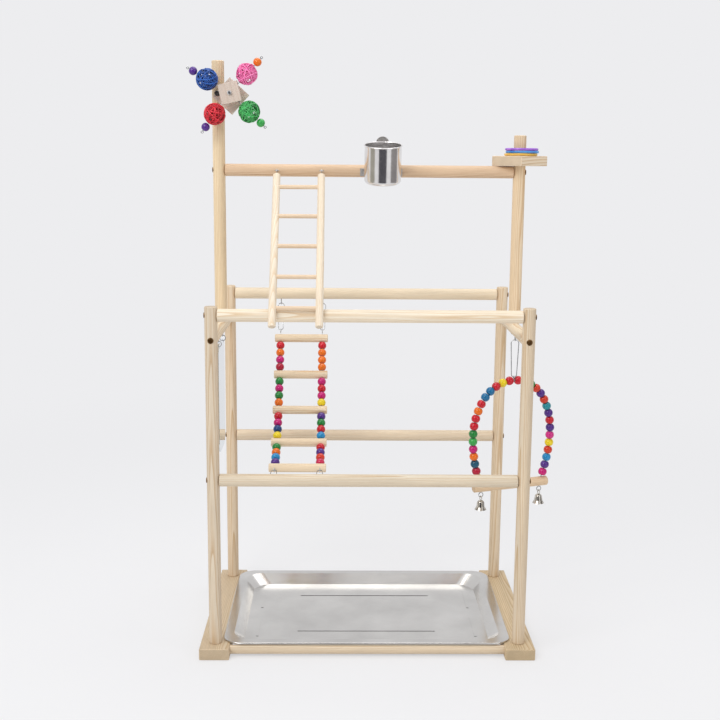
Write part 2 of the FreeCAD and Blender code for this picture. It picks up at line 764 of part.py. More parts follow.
def cup():
    body = new_body("cup")
    radius = "Sizes.cup_diameter / 2"
    stock = step(body, "AdditiveCylinder", "stock", Radius=radius, Height="Sizes.cup_height")
    doc.recompute()
    bottom = step(body, "Fillet", "bottom", Radius="Sizes.cup_bottom_fillet")
    bottom.Base = (stock, edges_of(stock.Shape, lambda e: is_circle(e) and e.BoundBox.ZMax < 1))
    doc.recompute()
    top_face = max(range(len(bottom.Shape.Faces)), key=lambda n: bottom.Shape.Faces[n].CenterOfMass.z)
    wall = step(body, "Thickness", "wall", Value="Sizes.cup_sheet")
    wall.Base = (bottom, ["Face%d" % (top_face + 1)])
    wall.Reversed = True
    roll = step(
        body,
        "AdditiveTorus",
        "rim",
        Radius1="(Sizes.cup_diameter - Sizes.cup_sheet) / 2 + Sizes.cup_rim_roll / 4",
        Radius2="Sizes.cup_rim_roll / 2",
    )
    put(roll, "0", "0", "Sizes.cup_height")
    local = Placement(Vector(0, cup_axis_y, -size("cup_drop")), Rotation())
    body.Placement = cup_place.multiply(local)


def cup_bracket():
    """A flat tab up the cup's back, a cross bar, and two clips round the perch."""
    sheet_thickness = size("strap_sheet")
    back_face = -(dowel_radius + size("strap_gap"))
    tab_top = size("cup_height") - size("cup_drop") + size("tab_rise")
    tab_radius = size("tab_width") / 2
    tab = Part.makeBox(
        size("tab_width"),
        sheet_thickness,
        tab_top - tab_radius,
        Vector(-tab_radius, back_face - sheet_thickness, 0),
    )
    crown = Part.makeCylinder(
        tab_radius, sheet_thickness, Vector(0, back_face, tab_top - tab_radius), Vector(0, -1, 0)
    )
    strap_start = size("strap_shift") - size("strap_length") / 2
    strap = Part.makeBox(
        size("strap_length"),
        sheet_thickness,
        size("strap_height"),
        Vector(strap_start, back_face - sheet_thickness, -size("strap_height") / 2),
    )
    shape = tab.fuse([crown, strap])
    inner = dowel_radius + size("strap_gap")
    width = size("clip_width")
    for x in pair(0, size("clip_spacing")):
        start = Vector(x - width / 2, 0, 0)
        clip = Part.makeCylinder(inner + sheet_thickness, width, start, X_AXIS)
        clip = clip.cut(Part.makeCylinder(inner, width, start, X_AXIS))
        mouth = size("clip_mouth")
        gap = Part.makeBox(width, 2 * inner, mouth, Vector(x - width / 2, 0, -mouth / 2))
        shape = shape.fuse(clip.cut(gap))
    made("cup_bracket", shape.removeSplitter(), cup_place)


cup()
cup_bracket()

# ---------------------------------------------------------------- pinwheel

hub_x = left + size("pinwheel_offset")
hub_z = size("pinwheel_z")
post_face = -dowel_radius
plate_front = post_face - size("seat_gap") - size("back_plate_thickness")
hub_y = post_face - size("hub_y")
bolt_radius = size("bolt_diameter") / 2


def square_plate(label, side, thickness, turn_angle, x, y, z):
    """A square of wood that stands in the XZ plane, y being its back face."""
    body = new_body(label)
    stock = step(body, "AdditiveBox", "stock", Length=side, Width=side, Height=thickness)
    put(stock, "-%s / 2" % side, "-%s / 2" % side, "0")
    chamfer(body, stock, "Sizes.block_chamfer / 2", lambda edge: True)
    upright = Rotation(Y_AXIS, -size(turn_angle)).multiply(TO_FRONT)
    body.Placement = Placement(Vector(x, y, z), upright)
    return body


def pinwheel_plates():
    plate = square_plate(
        "pinwheel_back_plate",
        "Sizes.back_plate_side",
        "Sizes.back_plate_thickness",
        "back_plate_turn",
        hub_x,
        post_face - size("seat_gap"),
        hub_z - size("back_plate_drop"),
    )
    back_to_local = plate.Placement.inverse()
    for name, point, diameter in (
        ("bolt_hole", Vector(hub_x, post_face, hub_z), "Sizes.bolt_diameter"),
        ("screw_hole", Vector(left, post_face, hub_z), SCREW_HOLE),
    ):
        local = back_to_local.multVec(point)
        drill(plate, name, diameter, "2 * Sizes.back_plate_thickness", local.x, local.y, "0", UPRIGHT)
    hub = square_plate(
        "pinwheel_hub",
        "Sizes.hub_side",
        "Sizes.hub_thickness",
        "hub_turn",
        hub_x,
        hub_y + size("hub_thickness") / 2,
        hub_z,
    )
    bore = "Sizes.bolt_diameter + 2 * Sizes.running_gap"
    drill(hub, "bore", bore, "Sizes.hub_thickness", "0", "0", "0", UPRIGHT)
    return hub


ARMS = ("pink", "blue", "red", "green")


def arm_direction(colour):
    angle = math.radians(size("arm_angle_" + colour))
    return Vector(math.cos(angle), 0, math.sin(angle))


def arm_edge(colour):
    """How far out the hub's edge lies along an arm."""
    turned = math.radians(size("arm_angle_" + colour) - size("hub_turn"))
    return size("hub_side") / 2 / max(abs(math.cos(turned)), abs(math.sin(turned)))


hub = pinwheel_plates()
hub_centre = Vector(hub_x, hub_y, hub_z)
for colour in ARMS:
    start = hub_centre + arm_direction(colour) * (arm_edge(colour) - size("arm_hold"))
    local = hub.Placement.inverse()
    along = local.Rotation.multVec(arm_direction(colour))
    point = local.multVec(start)
    hole = step(hub, "SubtractiveCylinder", "arm_" + colour)
    bind(hole, Radius="Sizes.arm_wire / 2", Height="Sizes.hub_side")
    hole.Placement = Placement(point, Rotation(Z_AXIS, along))

# The plate's own screw is shorter than the frame's, and goes into the post's front.
plate_screw_length = size("back_plate_thickness") + size("plate_screw_hold")
plate_screw_seat = Vector(left, plate_front, hub_z)
made("pinwheel_plate_screw", placed(screw(plate_screw_length), plate_screw_seat, -Y_AXIS))
doc.recompute()
drill(
    post_left,
    "plate_pilot",
    SCREW_HOLE,
    "Sizes.plate_screw_hold + 2 * Sizes.seat_gap",
    "0",
    "-" + DOWEL_RADIUS,
    "Sizes.pinwheel_z - " + post_foot,
    TO_BACK,
)

nut_height = size("nut_height")
hub_half = size("hub_thickness") / 2
nut_backs = (
    plate_front,
    hub_y + hub_half + size("spin_gap") + nut_height,
    hub_y - hub_half - size("spin_gap"),
)


def hexagon(width, height, point, direction):
    """A hexagonal prism across the flats of a nut or bolt head."""
    corner = width / math.sqrt(3)
    outline = [
        Vector(corner * math.cos(math.radians(60 * n)), corner * math.sin(math.radians(60 * n)), 0)
        for n in range(7)
    ]
    prism = Part.Face(Part.makePolygon(outline)).extrude(Vector(0, 0, height))
    return placed(prism, point, direction)


def pinwheel_hardware():
    bolt_back = post_face - size("seat_gap")
    bolt_tip = nut_backs[2] - nut_height - size("bolt_end")
    shank = rod(Vector(hub_x, bolt_back, hub_z), Vector(hub_x, bolt_tip, hub_z), bolt_radius)
    head_base = Vector(hub_x, bolt_back, hub_z)
    head = hexagon(size("bolt_head_width"), size("bolt_head_height"), head_base, Y_AXIS)
    made("pinwheel_bolt", shank.fuse(head).removeSplitter())
    nuts = []
    for y in nut_backs:
        nut = hexagon(size("nut_width"), nut_height, Vector(hub_x, y, hub_z), -Y_AXIS)
        behind = Vector(hub_x, y + nut_height, hub_z)
        nuts.append(nut.cut(Part.makeCylinder(bolt_radius, 3 * nut_height, behind, -Y_AXIS)))
    made("pinwheel_nuts", Part.makeCompound(nuts))


pinwheel_hardware()

ball_radius = size("ball_diameter") / 2
arm_bead_radius = size("arm_bead_diameter") / 2


def arm_bead_at(colour):
    """How far out an arm's end bead sits."""
    return size("ball_distance_" + colour) + ball_radius + size("link_gap") + arm_bead_radius


def arm_wire(colour):
    along = arm_direction(colour)
    start = hub_centre + along * (arm_edge(colour) - size("arm_hold"))
    bead_edge = arm_bead_at(colour) + arm_bead_radius + size("link_gap")
    loop_centre = hub_centre + along * (bead_edge + size("arm_wire") / 2 + size("arm_loop_radius"))
    wire = rod(start, loop_centre - along * size("arm_loop_radius"), size("arm_wire") / 2)
    return wire.fuse(ring(loop_centre, Y_AXIS, size("arm_loop_radius"), size("arm_loop_wire")))


made("pinwheel_arms", Part.makeCompound([arm_wire(colour) for colour in ARMS]))

arm_bore = size("arm_wire") + 2 * size("arm_bore_gap")
arm_beads = []
for colour in ARMS:
    along = arm_direction(colour)
    middle = hub_centre + along * arm_bead_at(colour)
    arm_beads.append(bead(middle, along, 2 * arm_bead_radius, size("arm_bead_length"), arm_bore))
made("pinwheel_beads", Part.makeCompound(arm_beads))


def rattan_ball(colour):
    """The outer form of a woven ball, bored for its wire."""
    sphere = doc.addObject("Part::Sphere", "sphere_" + colour)
    bind(sphere, Radius="Sizes.ball_diameter / 2")
    bore = doc.addObject("Part::Cylinder", "bore_" + colour)
    bind(bore, Radius="Sizes.arm_wire / 2 + Sizes.arm_bore_gap", Height="2 * Sizes.ball_diameter")
    put(bore, "0", "0", "-Sizes.ball_diameter")
    ball = doc.addObject("Part::Cut", "ball_" + colour)
    ball.Base = sphere
    ball.Tool = bore
    ball.Label = "ball_" + colour
    along = arm_direction(colour)
    out = hub_centre + along * size("ball_distance_" + colour)
    ball.Placement = Placement(out, Rotation(Z_AXIS, along))
    parts.append(ball)


for colour in ARMS:
    rattan_ball(colour)

# ---------------------------------------------------------------- ring block and rings


def ring_block():
    body = new_body("ring_block")
    stock = step(
        body,
        "AdditiveBox",
        "stock",
        Length="Sizes.block_side",
        Width="Sizes.block_side",
        Height="Sizes.block_thickness",
    )
    put(stock, "-Sizes.block_side / 2", "-Sizes.block_side / 2", "0")
    chamfer(body, stock, "Sizes.block_chamfer", lambda edge: True)
    bore = "Sizes.dowel_diameter + 2 * Sizes.block_bore_gap"
    drill(body, "bore", bore, "Sizes.block_thickness", "0", "0", "0", UPRIGHT)
    put(body, RIGHT, "0", "Sizes.block_seat", Rotation(Z_AXIS, size("block_turn")))


def toy_ring(colour, level):
    """A plastic ring, lying on the ones below it."""
    torus = doc.addObject("Part::Torus", "ring_" + colour)
    torus.Label = "ring_" + colour
    bind(
        torus,
        Radius1="(Sizes.ring_diameter - Sizes.ring_thickness) / 2",
        Radius2="Sizes.ring_thickness / 2",
    )
    block_top = "Sizes.block_seat + Sizes.block_thickness"
    height = "%s + %d * (Sizes.ring_thickness + Sizes.link_gap) + Sizes.link_gap + Sizes.ring_thickness / 2"
    put(torus, RIGHT + " + Sizes.ring_shift_" + colour, "0", height % (block_top, level))
    parts.append(torus)


ring_block()
for level, colour in enumerate(("yellow", "blue", "purple")):
    toy_ring(colour, level)

# ---------------------------------------------------------------- rigid ladder

# The ladder hangs by two rings from the upper perch's screw eyes, and its rails
# lie against the front of the front top perch.
hook_reach = eye_wire + size("link_gap")
ladder_pivot = Vector(0, -(dowel_radius + eye_reach + eye_radius), size("upper_perch_z"))
to_perch = Vector(0, front - ladder_pivot.y, size("top_perch_z") - ladder_pivot.z)
rail_stand_off = dowel_radius + size("ladder_rail_diameter") / 2 + size("link_gap")
ladder_angle = math.atan2(-to_perch.y, -to_perch.z) + math.asin(rail_stand_off / to_perch.Length)
ladder_down = Vector(0, -math.sin(ladder_angle), -math.cos(ladder_angle))
ring_from_pivot = eye_radius - hook_reach
rail_start = ring_from_pivot + eye_reach


def ladder_point(x, along):
    return Vector(x, ladder_pivot.y, ladder_pivot.z) + ladder_down * along


def ladder_rails():
    radius = size("ladder_rail_diameter") / 2
    rails = []
    for x in rail_xs:
        start = ladder_point(x, rail_start)
        finish = ladder_point(x, rail_start + size("ladder_rail_length"))
        rail = rod(start, finish, radius)
        rail = rail.makeChamfer(size("end_chamfer"), [e for e in rail.Edges if is_circle(e)])
        thread = rod(start, start + ladder_down * size("eye_thread_length"), eye_pilot_radius)
        rail = rail.cut(thread)
        for number in range(int(size("ladder_rung_count"))):
            rail = rail.cut(ladder_rung(number, size("glue_gap")))
        rails.append(rail)
    made("ladder_rails", Part.makeCompound(rails))


def ladder_rung(number, extra=0.0):
    """A rung, its ends held in the rails; extra widens it to cut its sockets."""
    along = rail_start + size("ladder_rung_first") + number * size("ladder_rung_pitch")
    reach = size("ladder_width") / 2 - size("ladder_rail_diameter") / 2 + size("ladder_rung_hold") + extra
    start = ladder_point(ladder_x - reach, along)
    finish = ladder_point(ladder_x + reach, along)
    return rod(start, finish, size("ladder_rung_diameter") / 2 + extra)


ladder_rails()
made("ladder_rungs", Part.makeCompound([ladder_rung(n) for n in range(int(size("ladder_rung_count")))]))
made(
    "ladder_eyes",
    Part.makeCompound([screw_eye(ladder_point(x, rail_start), -ladder_down, X_AXIS) for x in rail_xs]),
)

# ---------------------------------------------------------------- bead ladder


def hang(start, finish, lengths, load):
    """Where a chain of stiff links hangs between two points, in the YZ plane.

    Each joint carries the same load. The pull along Y and the lift at the start
    are found so that the chain ends at the finish.
    """

    def walk(pull, lift):
        point = start
        points = [start]
        for length in lengths:
            along = Vector(0, -pull, -lift).normalize()
            point = point + along * length
            points.append(point)
            lift -= load
        return points

    pull, lift, nudge = 2.0, 4.0, 1e-5
    for _ in range(80):
        miss = walk(pull, lift)[-1] - finish
        by_pull = (walk(pull + nudge, lift)[-1] - finish - miss) * (1 / nudge)
        by_lift = (walk(pull, lift + nudge)[-1] - finish - miss) * (1 / nudge)
        spread = by_pull.y * by_lift.z - by_lift.y * by_pull.z
        change_pull = (-miss.y * by_lift.z + miss.z * by_lift.y) / spread
        change_lift = (-by_pull.y * miss.z + by_pull.z * miss.y) / spread
        part_step = min(1.0, 0.5 / max(abs(change_pull), abs(change_lift), nudge))
        pull += part_step * change_pull
        lift += part_step * change_lift
    return walk(pull, lift)


rung_count = int(size("rung_count"))
rung_radius = size("rung_diameter") / 2
upper_eye = Vector(0, back, size("top_perch_z") - dowel_radius - eye_reach)
lower_eye = Vector(0, front + dowel_radius + eye_reach, size("mid_perch_z"))
link_lengths = [size("first_link")] + [size("rung_pitch")] * (rung_count - 1) + [size("last_link")]
chain = hang(upper_eye, lower_eye, link_lengths, 1.0)
rung_points = chain[1:-1]


def at_x(point, x):
    return Vector(x, point.y, point.z)


def direction(start, finish):
    return (finish - start).normalize()


def snap_hook(start, finish, side, wide, narrow):
    """A pear-shaped ring of wire; start and finish are the middles of its two ends.

    The wide end is at the start, and side points across the hook in its own plane.
    """
    along = direction(start, finish)
    normal = along.cross(side)
    wide_centre = start + along * wide
    narrow_centre = finish - along * narrow
    lean = math.asin((wide - narrow) / (narrow_centre - wide_centre).Length)

    def on(centre, radius, sign):
        return centre + (side * (sign * math.cos(lean)) + along * math.sin(lean)) * radius

    wire = size("hook_wire")
    edges = [
        Part.Arc(on(wide_centre, wide, -1), start, on(wide_centre, wide, 1)).toShape(),
        Part.makeLine(on(wide_centre, wide, 1), on(narrow_centre, narrow, 1)),
        Part.Arc(on(narrow_centre, narrow, 1), finish, on(narrow_centre, narrow, -1)).toShape(),
        Part.makeLine(on(narrow_centre, narrow, -1), on(wide_centre, wide, -1)),
    ]
    return bent_wire(Part.Wire(edges), wire)


# A hook's end wire bears on the far side of the screw eye's ring.
bear = eye_radius - (eye_wire + size("hook_wire")) / 2 - size("link_gap")


def bead_ladder_hooks():
    hooks = []
    for x in string_xs:
        for eye, rung in ((chain[0], chain[1]), (chain[-1], chain[-2])):
            along = direction(eye, rung)
            start = at_x(eye + along * bear, x)
            finish = at_x(rung - along * (rung_radius + eye_reach + bear), x)
            wide, narrow = size("hook_wide_radius"), size("hook_narrow_radius")
            hooks.append(snap_hook(start, finish, X_AXIS, wide, narrow))
    made("bead_ladder_hooks", Part.makeCompound(hooks))


def bead_ladder_rung(number):
    """A rung with its string bores; the end rungs also carry two screw eyes."""
    centre = rung_points[number]
    half = size("rung_length") / 2
    rung = rod(at_x(centre, bead_ladder_x - half), at_x(centre, bead_ladder_x + half), rung_radius)
    rung = rung.makeChamfer(size("end_chamfer"), [e for e in rung.Edges if is_circle(e)])
    for x in string_xs:
        for neighbour in (number, number + 2):
            along = direction(centre, chain[neighbour])
            if neighbour in (0, len(chain) - 1):
                continue
            outside = at_x(centre + along * 2 * rung_radius, x)
            rung = rung.cut(rod(at_x(centre, x), outside, size("bead_bore") / 2))
    eyes = []
    for neighbour in (0, len(chain) - 1):
        if neighbour in (number, number + 2):
            along = direction(centre, chain[neighbour])
            for x in string_xs:
                point = at_x(centre + along * rung_radius, x)
                thread = point - along * size("eye_thread_length")
                rung = rung.cut(rod(thread, point + along * size("end_chamfer"), eye_pilot_radius))
                eyes.append(screw_eye(point, along, X_AXIS))
    made("bead_ladder_rung_%d" % (number + 1), Part.makeCompound([rung] + eyes))


def bead_span(number):
    """Two strings of beads between one rung and the next."""
    start, finish = rung_points[number], rung_points[number + 1]
    along = direction(start, finish)
    count = int(size("beads_per_span"))
    room = (finish - start).Length - 2 * rung_radius
    pitch = room / count
    pieces = []
    for x in string_xs:
        for n in range(count):
            reach = rung_radius + (n + 0.5) * pitch
            middle = at_x(start + along * reach, x)
            pieces.append(bead(middle, along, size("bead_diameter"), size("bead_length"), size("bead_bore")))
        inset = along * (rung_radius + size("link_gap"))
        string_radius = size("string_diameter") / 2
        pieces.append(rod(at_x(start + inset, x), at_x(finish - inset, x), string_radius))
    made("bead_ladder_beads_%d" % (number + 1), Part.makeCompound(pieces))


bead_ladder_hooks()
for number in range(rung_count):
    bead_ladder_rung(number)
for number in range(rung_count - 1):
    bead_span(number)

# ---------------------------------------------------------------- swing

swing_at = Vector(right, size("swing_y"), rail_bottom - eye_reach)
swing_hook_top = swing_at - Z_AXIS * bear
swing_hook_bottom = swing_hook_top - Z_AXIS * size("swing_hook_length")
arch_wire_radius = size("arch_wire") / 2
arch_eye_centre = swing_hook_bottom - Z_AXIS * bear
arch_top = arch_eye_centre - Z_AXIS * (eye_radius + eye_wire / 2)
swing_across = Rotation(Z_AXIS, size("swing_turn")).multVec(X_AXIS)
swing_normal = swing_across.cross(Z_AXIS)

made(
    "swing_hook",
    snap_hook(
        swing_hook_top,
        swing_hook_bottom,
        X_AXIS,
        size("swing_hook_wide_radius"),
        size("swing_hook_narrow_radius"),
    ),
)


def arch_arcs():
    """Half of the arch as tangent arcs: centre across and up, radius, start, end."""
    top, shoulder = size("arch_top_radius"), size("arch_shoulder_radius")
    leg_radius = size("arch_leg_radius")
    turn = size("arch_shoulder_angle")
    turned = math.radians(turn)
    top_centre = (0.0, -top)
    inset = shoulder - top
    shoulder_centre = (-inset * math.sin(turned), -top - inset * math.cos(turned))
    leg_centre = (shoulder_centre[0] + shoulder - leg_radius, shoulder_centre[1])
    return (
        (top_centre, top, 0.0, turn),
        (shoulder_centre, shoulder, turn, 90.0),
        (leg_centre, leg_radius, 90.0, 90.0 + size("arch_leg_angle")),
    )


def arch_spot(centre, radius, angle):
    """Across and up, for an angle from straight up."""
    turned = math.radians(angle)
    return (centre[0] + radius * math.sin(turned), centre[1] + radius * math.cos(turned))


def in_arch(spot, hand):
    return arch_top + swing_across * (hand * spot[0]) + Z_AXIS * spot[1]


def arch_at(length, hand):
    """The point and the way along, a length down the arch from its top."""
    for centre, radius, first, last in arch_arcs():
        run = math.radians(last - first) * radius
        if length <= run or last > 90.0:
            angle = first + math.degrees(length / radius)
            ahead = arch_spot(centre, radius, angle + 0.5)
            spot = arch_spot(centre, radius, angle)
            return in_arch(spot, hand), direction(in_arch(spot, hand), in_arch(ahead, hand))
        length -= run


arch_length = sum(math.radians(last - first) * radius for _, radius, first, last in arch_arcs())
arch_ends = [arch_at(arch_length, hand)[0] for hand in (-1, 1)]
bar_z = arch_ends[0].z
bell_loop_z = bar_z - size("bar_diameter") / 2 - size("bell_loop_drop")


def swing_wire():
    edges = []
    for hand in (-1, 1):
        for centre, radius, first, last in arch_arcs():
            spots = [arch_spot(centre, radius, first + (last - first) * share) for share in (0.0, 0.5, 1.0)]
            edges.append(Part.Arc(*[in_arch(spot, hand) for spot in spots]).toShape())
    path = Part.Wire(Part.__sortEdges__(edges))
    pieces = [ring(arch_eye_centre, X_AXIS, eye_radius, eye_wire)]
    for end in arch_ends:
        loop_centre = Vector(end.x, end.y, bell_loop_z)
        knee = Part.makeSphere(arch_wire_radius + size("glue_gap"), end)
        stem = rod(end, loop_centre + Z_AXIS * size("bell_loop_radius"), arch_wire_radius)
        pieces += [knee, stem, ring(loop_centre, swing_normal, size("bell_loop_radius"), eye_wire)]
    wire = bent_wire(path, size("arch_wire"))
    for piece in pieces:
        wire = wire.fuse(piece)
    made("swing_wire", wire)


def swing_beads():
    beads = []
    half = int(size("arch_bead_count")) // 2
    bore = size("arch_wire") + 2 * size("link_gap")
    for hand in (-1, 1):
        for n in range(half):
            reach = size("arch_middle_gap") / 2 + (n + 0.5) * size("arch_bead_pitch")
            point, along = arch_at(reach, hand)
            beads.append(bead(point, along, size("bead_diameter"), size("bead_length"), bore))
    made("swing_beads", Part.makeCompound(beads))


def swing_bar():
    middle = Vector(right, size("swing_y"), bar_z)
    half = size("bar_length") / 2
    bar = rod(middle - swing_across * half, middle + swing_across * half, size("bar_diameter") / 2)
    bar = bar.makeChamfer(size("end_chamfer"), [e for e in bar.Edges if is_circle(e)])
    bore = arch_wire_radius + size("bar_bore_gap")
    for hand in (-1, 1):
        end, along = arch_at(arch_length, hand)
        bar = bar.cut(rod(end - along * size("bar_diameter"), end, bore))
        bar = bar.cut(rod(end, end - Z_AXIS * size("bar_diameter"), bore))
    made("swing_bar", bar)


# The bell's section as shares of its radius and height, from the crown down.
SHOULDER_RADIUS, SHOULDER_DROP = 0.62, 0.28
WAIST_RADIUS, WAIST_DROP = 0.72, 0.7
CROWN_RADIUS, CROWN_DROP = 0.72, 0.075
CROWN_SKIN = 0.8  # how far the inner crown drops for each mm of sheet


def bell(hand_name, end):
    """A small pressed bell on a ring, and its clapper."""
    eye_radius_bell = size("bell_eye_radius")
    loop_bottom = bell_loop_z - size("bell_loop_radius")
    bear_bell = eye_wire + size("link_gap")
    eye_centre = Vector(end.x, end.y, loop_bottom + bear_bell - eye_radius_bell)
    crown = eye_centre.z - eye_radius_bell
    outer, height, skin = size("bell_diameter") / 2, size("bell_height"), size("bell_sheet")

    def outline(inset):
        """Half of the bell's section: crown, shoulder, waist and flared lip."""
        top = crown - inset
        shoulder = Vector(outer * SHOULDER_RADIUS - inset, 0, crown - height * SHOULDER_DROP)
        waist = Vector(outer * WAIST_RADIUS - inset, 0, crown - height * WAIST_DROP)
        lip = Vector(outer - inset, 0, crown - height)
        crown_drop = height * CROWN_DROP + inset * CROWN_SKIN
        crown_mid = Vector(shoulder.x * CROWN_RADIUS, 0, crown - crown_drop)
        return [
            Part.Arc(Vector(0, 0, top), crown_mid, shoulder).toShape(),
            Part.makeLine(shoulder, waist),
            Part.makeLine(waist, lip),
            Part.makeLine(lip, Vector(0, 0, crown - height)),
            Part.makeLine(Vector(0, 0, crown - height), Vector(0, 0, top)),
        ]

    solids = []
    for inset in (0.0, skin):
        face = Part.Face(Part.Wire(outline(inset)))
        solids.append(face.revolve(Vector(), Z_AXIS, 360))
    shell = solids[0].cut(solids[1])
    shell.translate(Vector(end.x, end.y, 0))
    eye = ring(eye_centre, swing_across, eye_radius_bell, size("eye_wire"))
    made("bell_" + hand_name, shell.fuse(eye))
    inside = crown - skin - size("link_gap")
    ball_centre = Vector(end.x, end.y, crown - size("clapper_drop"))
    stem = rod(Vector(end.x, end.y, inside), ball_centre, size("clapper_wire") / 2)
    made("clapper_" + hand_name, stem.fuse(Part.makeSphere(size("clapper_diameter") / 2, ball_centre)))
    return eye_centre, crown


swing_wire()
swing_beads()
swing_bar()
bell_facts = [bell(name, end) for name, end in zip(("left", "right"), arch_ends)]

# ---------------------------------------------------------------- mirror

# Two rings hang in the screw eyes and pass through the panel's two holes.
mirror_ring_radius = size("mirror_ring_radius")
mirror_bear = eye_wire + size("link_gap")
mirror_ring_top = rail_bottom - eye_reach - eye_radius + mirror_bear
mirror_ring_z = mirror_ring_top - mirror_ring_radius
mirror_hole_z = mirror_ring_z - mirror_ring_radius
mirror_hole_play = (size("mirror_hole_diameter") - eye_wire) / 2 - size("link_gap")
mirror_top = mirror_hole_z + size("mirror_hole_inset") - mirror_hole_play


def mirror():
    body = new_body("mirror_panel")
    stock = step(
        body,
        "AdditiveBox",
        "stock",
        Length="Sizes.mirror_thickness",
        Width="Sizes.mirror_width",
        Height="Sizes.mirror_height",
    )
    put(stock, "-Sizes.mirror_thickness / 2", "-Sizes.mirror_width / 2", "-Sizes.mirror_height")
    doc.recompute()
    round_corners = step(body, "Fillet", "corners", Radius="Sizes.mirror_corner")
    across = edges_of(stock.Shape, lambda e: abs(e.tangentAt(e.FirstParameter).x) > 0.99)
    round_corners.Base = (stock, across)
    for name, sign in (("front", -1), ("back", 1)):
        drill(
            body,
            "hole_" + name,
            "Sizes.mirror_hole_diameter",
            "2 * Sizes.mirror_thickness",
            "-Sizes.mirror_thickness",
            "%d * Sizes.mirror_hole_spacing / 2" % sign,
            "-Sizes.mirror_hole_inset",
            TO_RIGHT,
        )
    body.Placement = Placement(Vector(left, size("mirror_y"), mirror_top), Rotation())
    rings = [ring(Vector(left, y, mirror_ring_z), Y_AXIS, mirror_ring_radius, eye_wire) for y in mirror_ys]
    made("mirror_rings", Part.makeCompound(rings))


mirror()

# ---------------------------------------------------------------- check and write

doc.recompute()
for thing in doc.Objects:
    if "Invalid" in thing.State or "Error" in thing.State:
        raise RuntimeError("%s failed: %s" % (thing.Label, thing.State))

os.makedirs("parts", exist_ok=True)
for piece in parts:
    if piece.Shape.isNull() or not piece.Shape.isValid() or not piece.Shape.Solids:
        raise RuntimeError(piece.Label + " has no valid solid")
for piece in parts:
    piece.Shape.exportStep("parts/%s.step" % piece.Label)

# Where the moving pieces hang and turn, printed so that the joints can be set there.
facts = {
    "chain": [(p.y, p.z) for p in chain],
    "ladder_pivot": (ladder_pivot.y, ladder_pivot.z),
    "swing_hook_top": swing_hook_top.z,
    "swing_hook_bottom": swing_hook_bottom.z,
    "bar_z": bar_z,
    "bell_loop_z": bell_loop_z,
    "arch_ends": [(p.x, p.y) for p in arch_ends],
    "crown": bell_facts[0][1],
    "mirror_pivot": mirror_ring_top - mirror_bear,
    "mirror_top": mirror_top,
    "hub": tuple(hub_centre),
}
print("FACTS", facts)
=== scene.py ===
import math
import random

import bpy
from mathutils import Matrix, Vector


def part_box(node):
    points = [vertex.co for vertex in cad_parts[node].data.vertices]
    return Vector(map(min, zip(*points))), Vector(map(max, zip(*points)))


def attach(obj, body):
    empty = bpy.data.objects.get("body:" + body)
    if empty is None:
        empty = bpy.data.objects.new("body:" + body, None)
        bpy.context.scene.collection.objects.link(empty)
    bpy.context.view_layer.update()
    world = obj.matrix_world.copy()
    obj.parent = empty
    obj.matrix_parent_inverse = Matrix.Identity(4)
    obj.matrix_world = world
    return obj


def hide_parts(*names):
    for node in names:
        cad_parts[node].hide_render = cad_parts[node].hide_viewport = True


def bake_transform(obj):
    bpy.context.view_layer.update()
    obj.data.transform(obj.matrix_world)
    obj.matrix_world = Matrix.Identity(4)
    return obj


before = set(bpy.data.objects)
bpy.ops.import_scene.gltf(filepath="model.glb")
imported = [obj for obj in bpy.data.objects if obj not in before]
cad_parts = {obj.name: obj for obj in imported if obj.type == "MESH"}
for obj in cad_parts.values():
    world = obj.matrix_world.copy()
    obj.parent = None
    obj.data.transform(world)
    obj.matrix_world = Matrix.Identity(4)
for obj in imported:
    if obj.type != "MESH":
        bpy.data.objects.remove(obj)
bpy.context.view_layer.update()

# ---------------------------------------------------------------- camera
# The stand is seen from the front, a little left of its middle and from just
# above the upper perch's height, through a moderately long lens.
VIEWPOINT = Vector((-0.0745, -2.2914, 0.9825))
PITCH, YAW, ROLL = (math.radians(angle) for angle in (10.14, 1.01, 0.49))
SENSOR_WIDTH, FOCAL_LENGTH = 36.0, 55.2


def shown(name, data):
    """A new object of the scene that shows the data."""
    thing = bpy.data.objects.new(name, data)
    bpy.context.scene.collection.objects.link(thing)
    return thing


ahead = Vector((math.sin(YAW) * math.cos(PITCH), math.cos(YAW) * math.cos(PITCH), -math.sin(PITCH)))
level = Vector((math.cos(YAW), -math.sin(YAW), 0.0))
upright = level.cross(ahead)
right = level * math.cos(ROLL) + upright * math.sin(ROLL)
up = upright * math.cos(ROLL) - level * math.sin(ROLL)

camera_data = bpy.data.cameras.new("camera")
camera_data.sensor_width = SENSOR_WIDTH
camera_data.lens = FOCAL_LENGTH
camera = shown("camera", camera_data)
camera.matrix_world = Matrix(
    (
        (right.x, up.x, -ahead.x, VIEWPOINT.x),
        (right.y, up.y, -ahead.y, VIEWPOINT.y),
        (right.z, up.z, -ahead.z, VIEWPOINT.z),
        (0.0, 0.0, 0.0, 1.0),
    )
)
bpy.context.scene.camera = camera
bpy.context.scene.view_settings.view_transform = "Standard"


# ---------------------------------------------------------------- floor and light
# A matt paper floor under a pale studio wall, lit from all round by the room, by
# one broad soft box above and to the left, and by weaker ones right and overhead.
def srgb(code):
    """A hex colour as linear light, with full alpha."""
    channels = [int(code[n : n + 2], 16) / 255 for n in (1, 3, 5)]
    return [c / 12.92 if c <= 0.04045 else ((c + 0.055) / 1.055) ** 2.4 for c in channels] + [1.0]


def add(tree, kind, settings=None, inputs=None):
    """A node with its settings; an input is a value or another node's output."""
    node = tree.nodes.new(kind)
    for name, value in (settings or {}).items():
        setattr(node, name, value)
    for socket, value in (inputs or {}).items():
        if isinstance(value, bpy.types.NodeSocket):
            tree.links.new(value, node.inputs[socket])
        else:
            node.inputs[socket].default_value = value
    return node


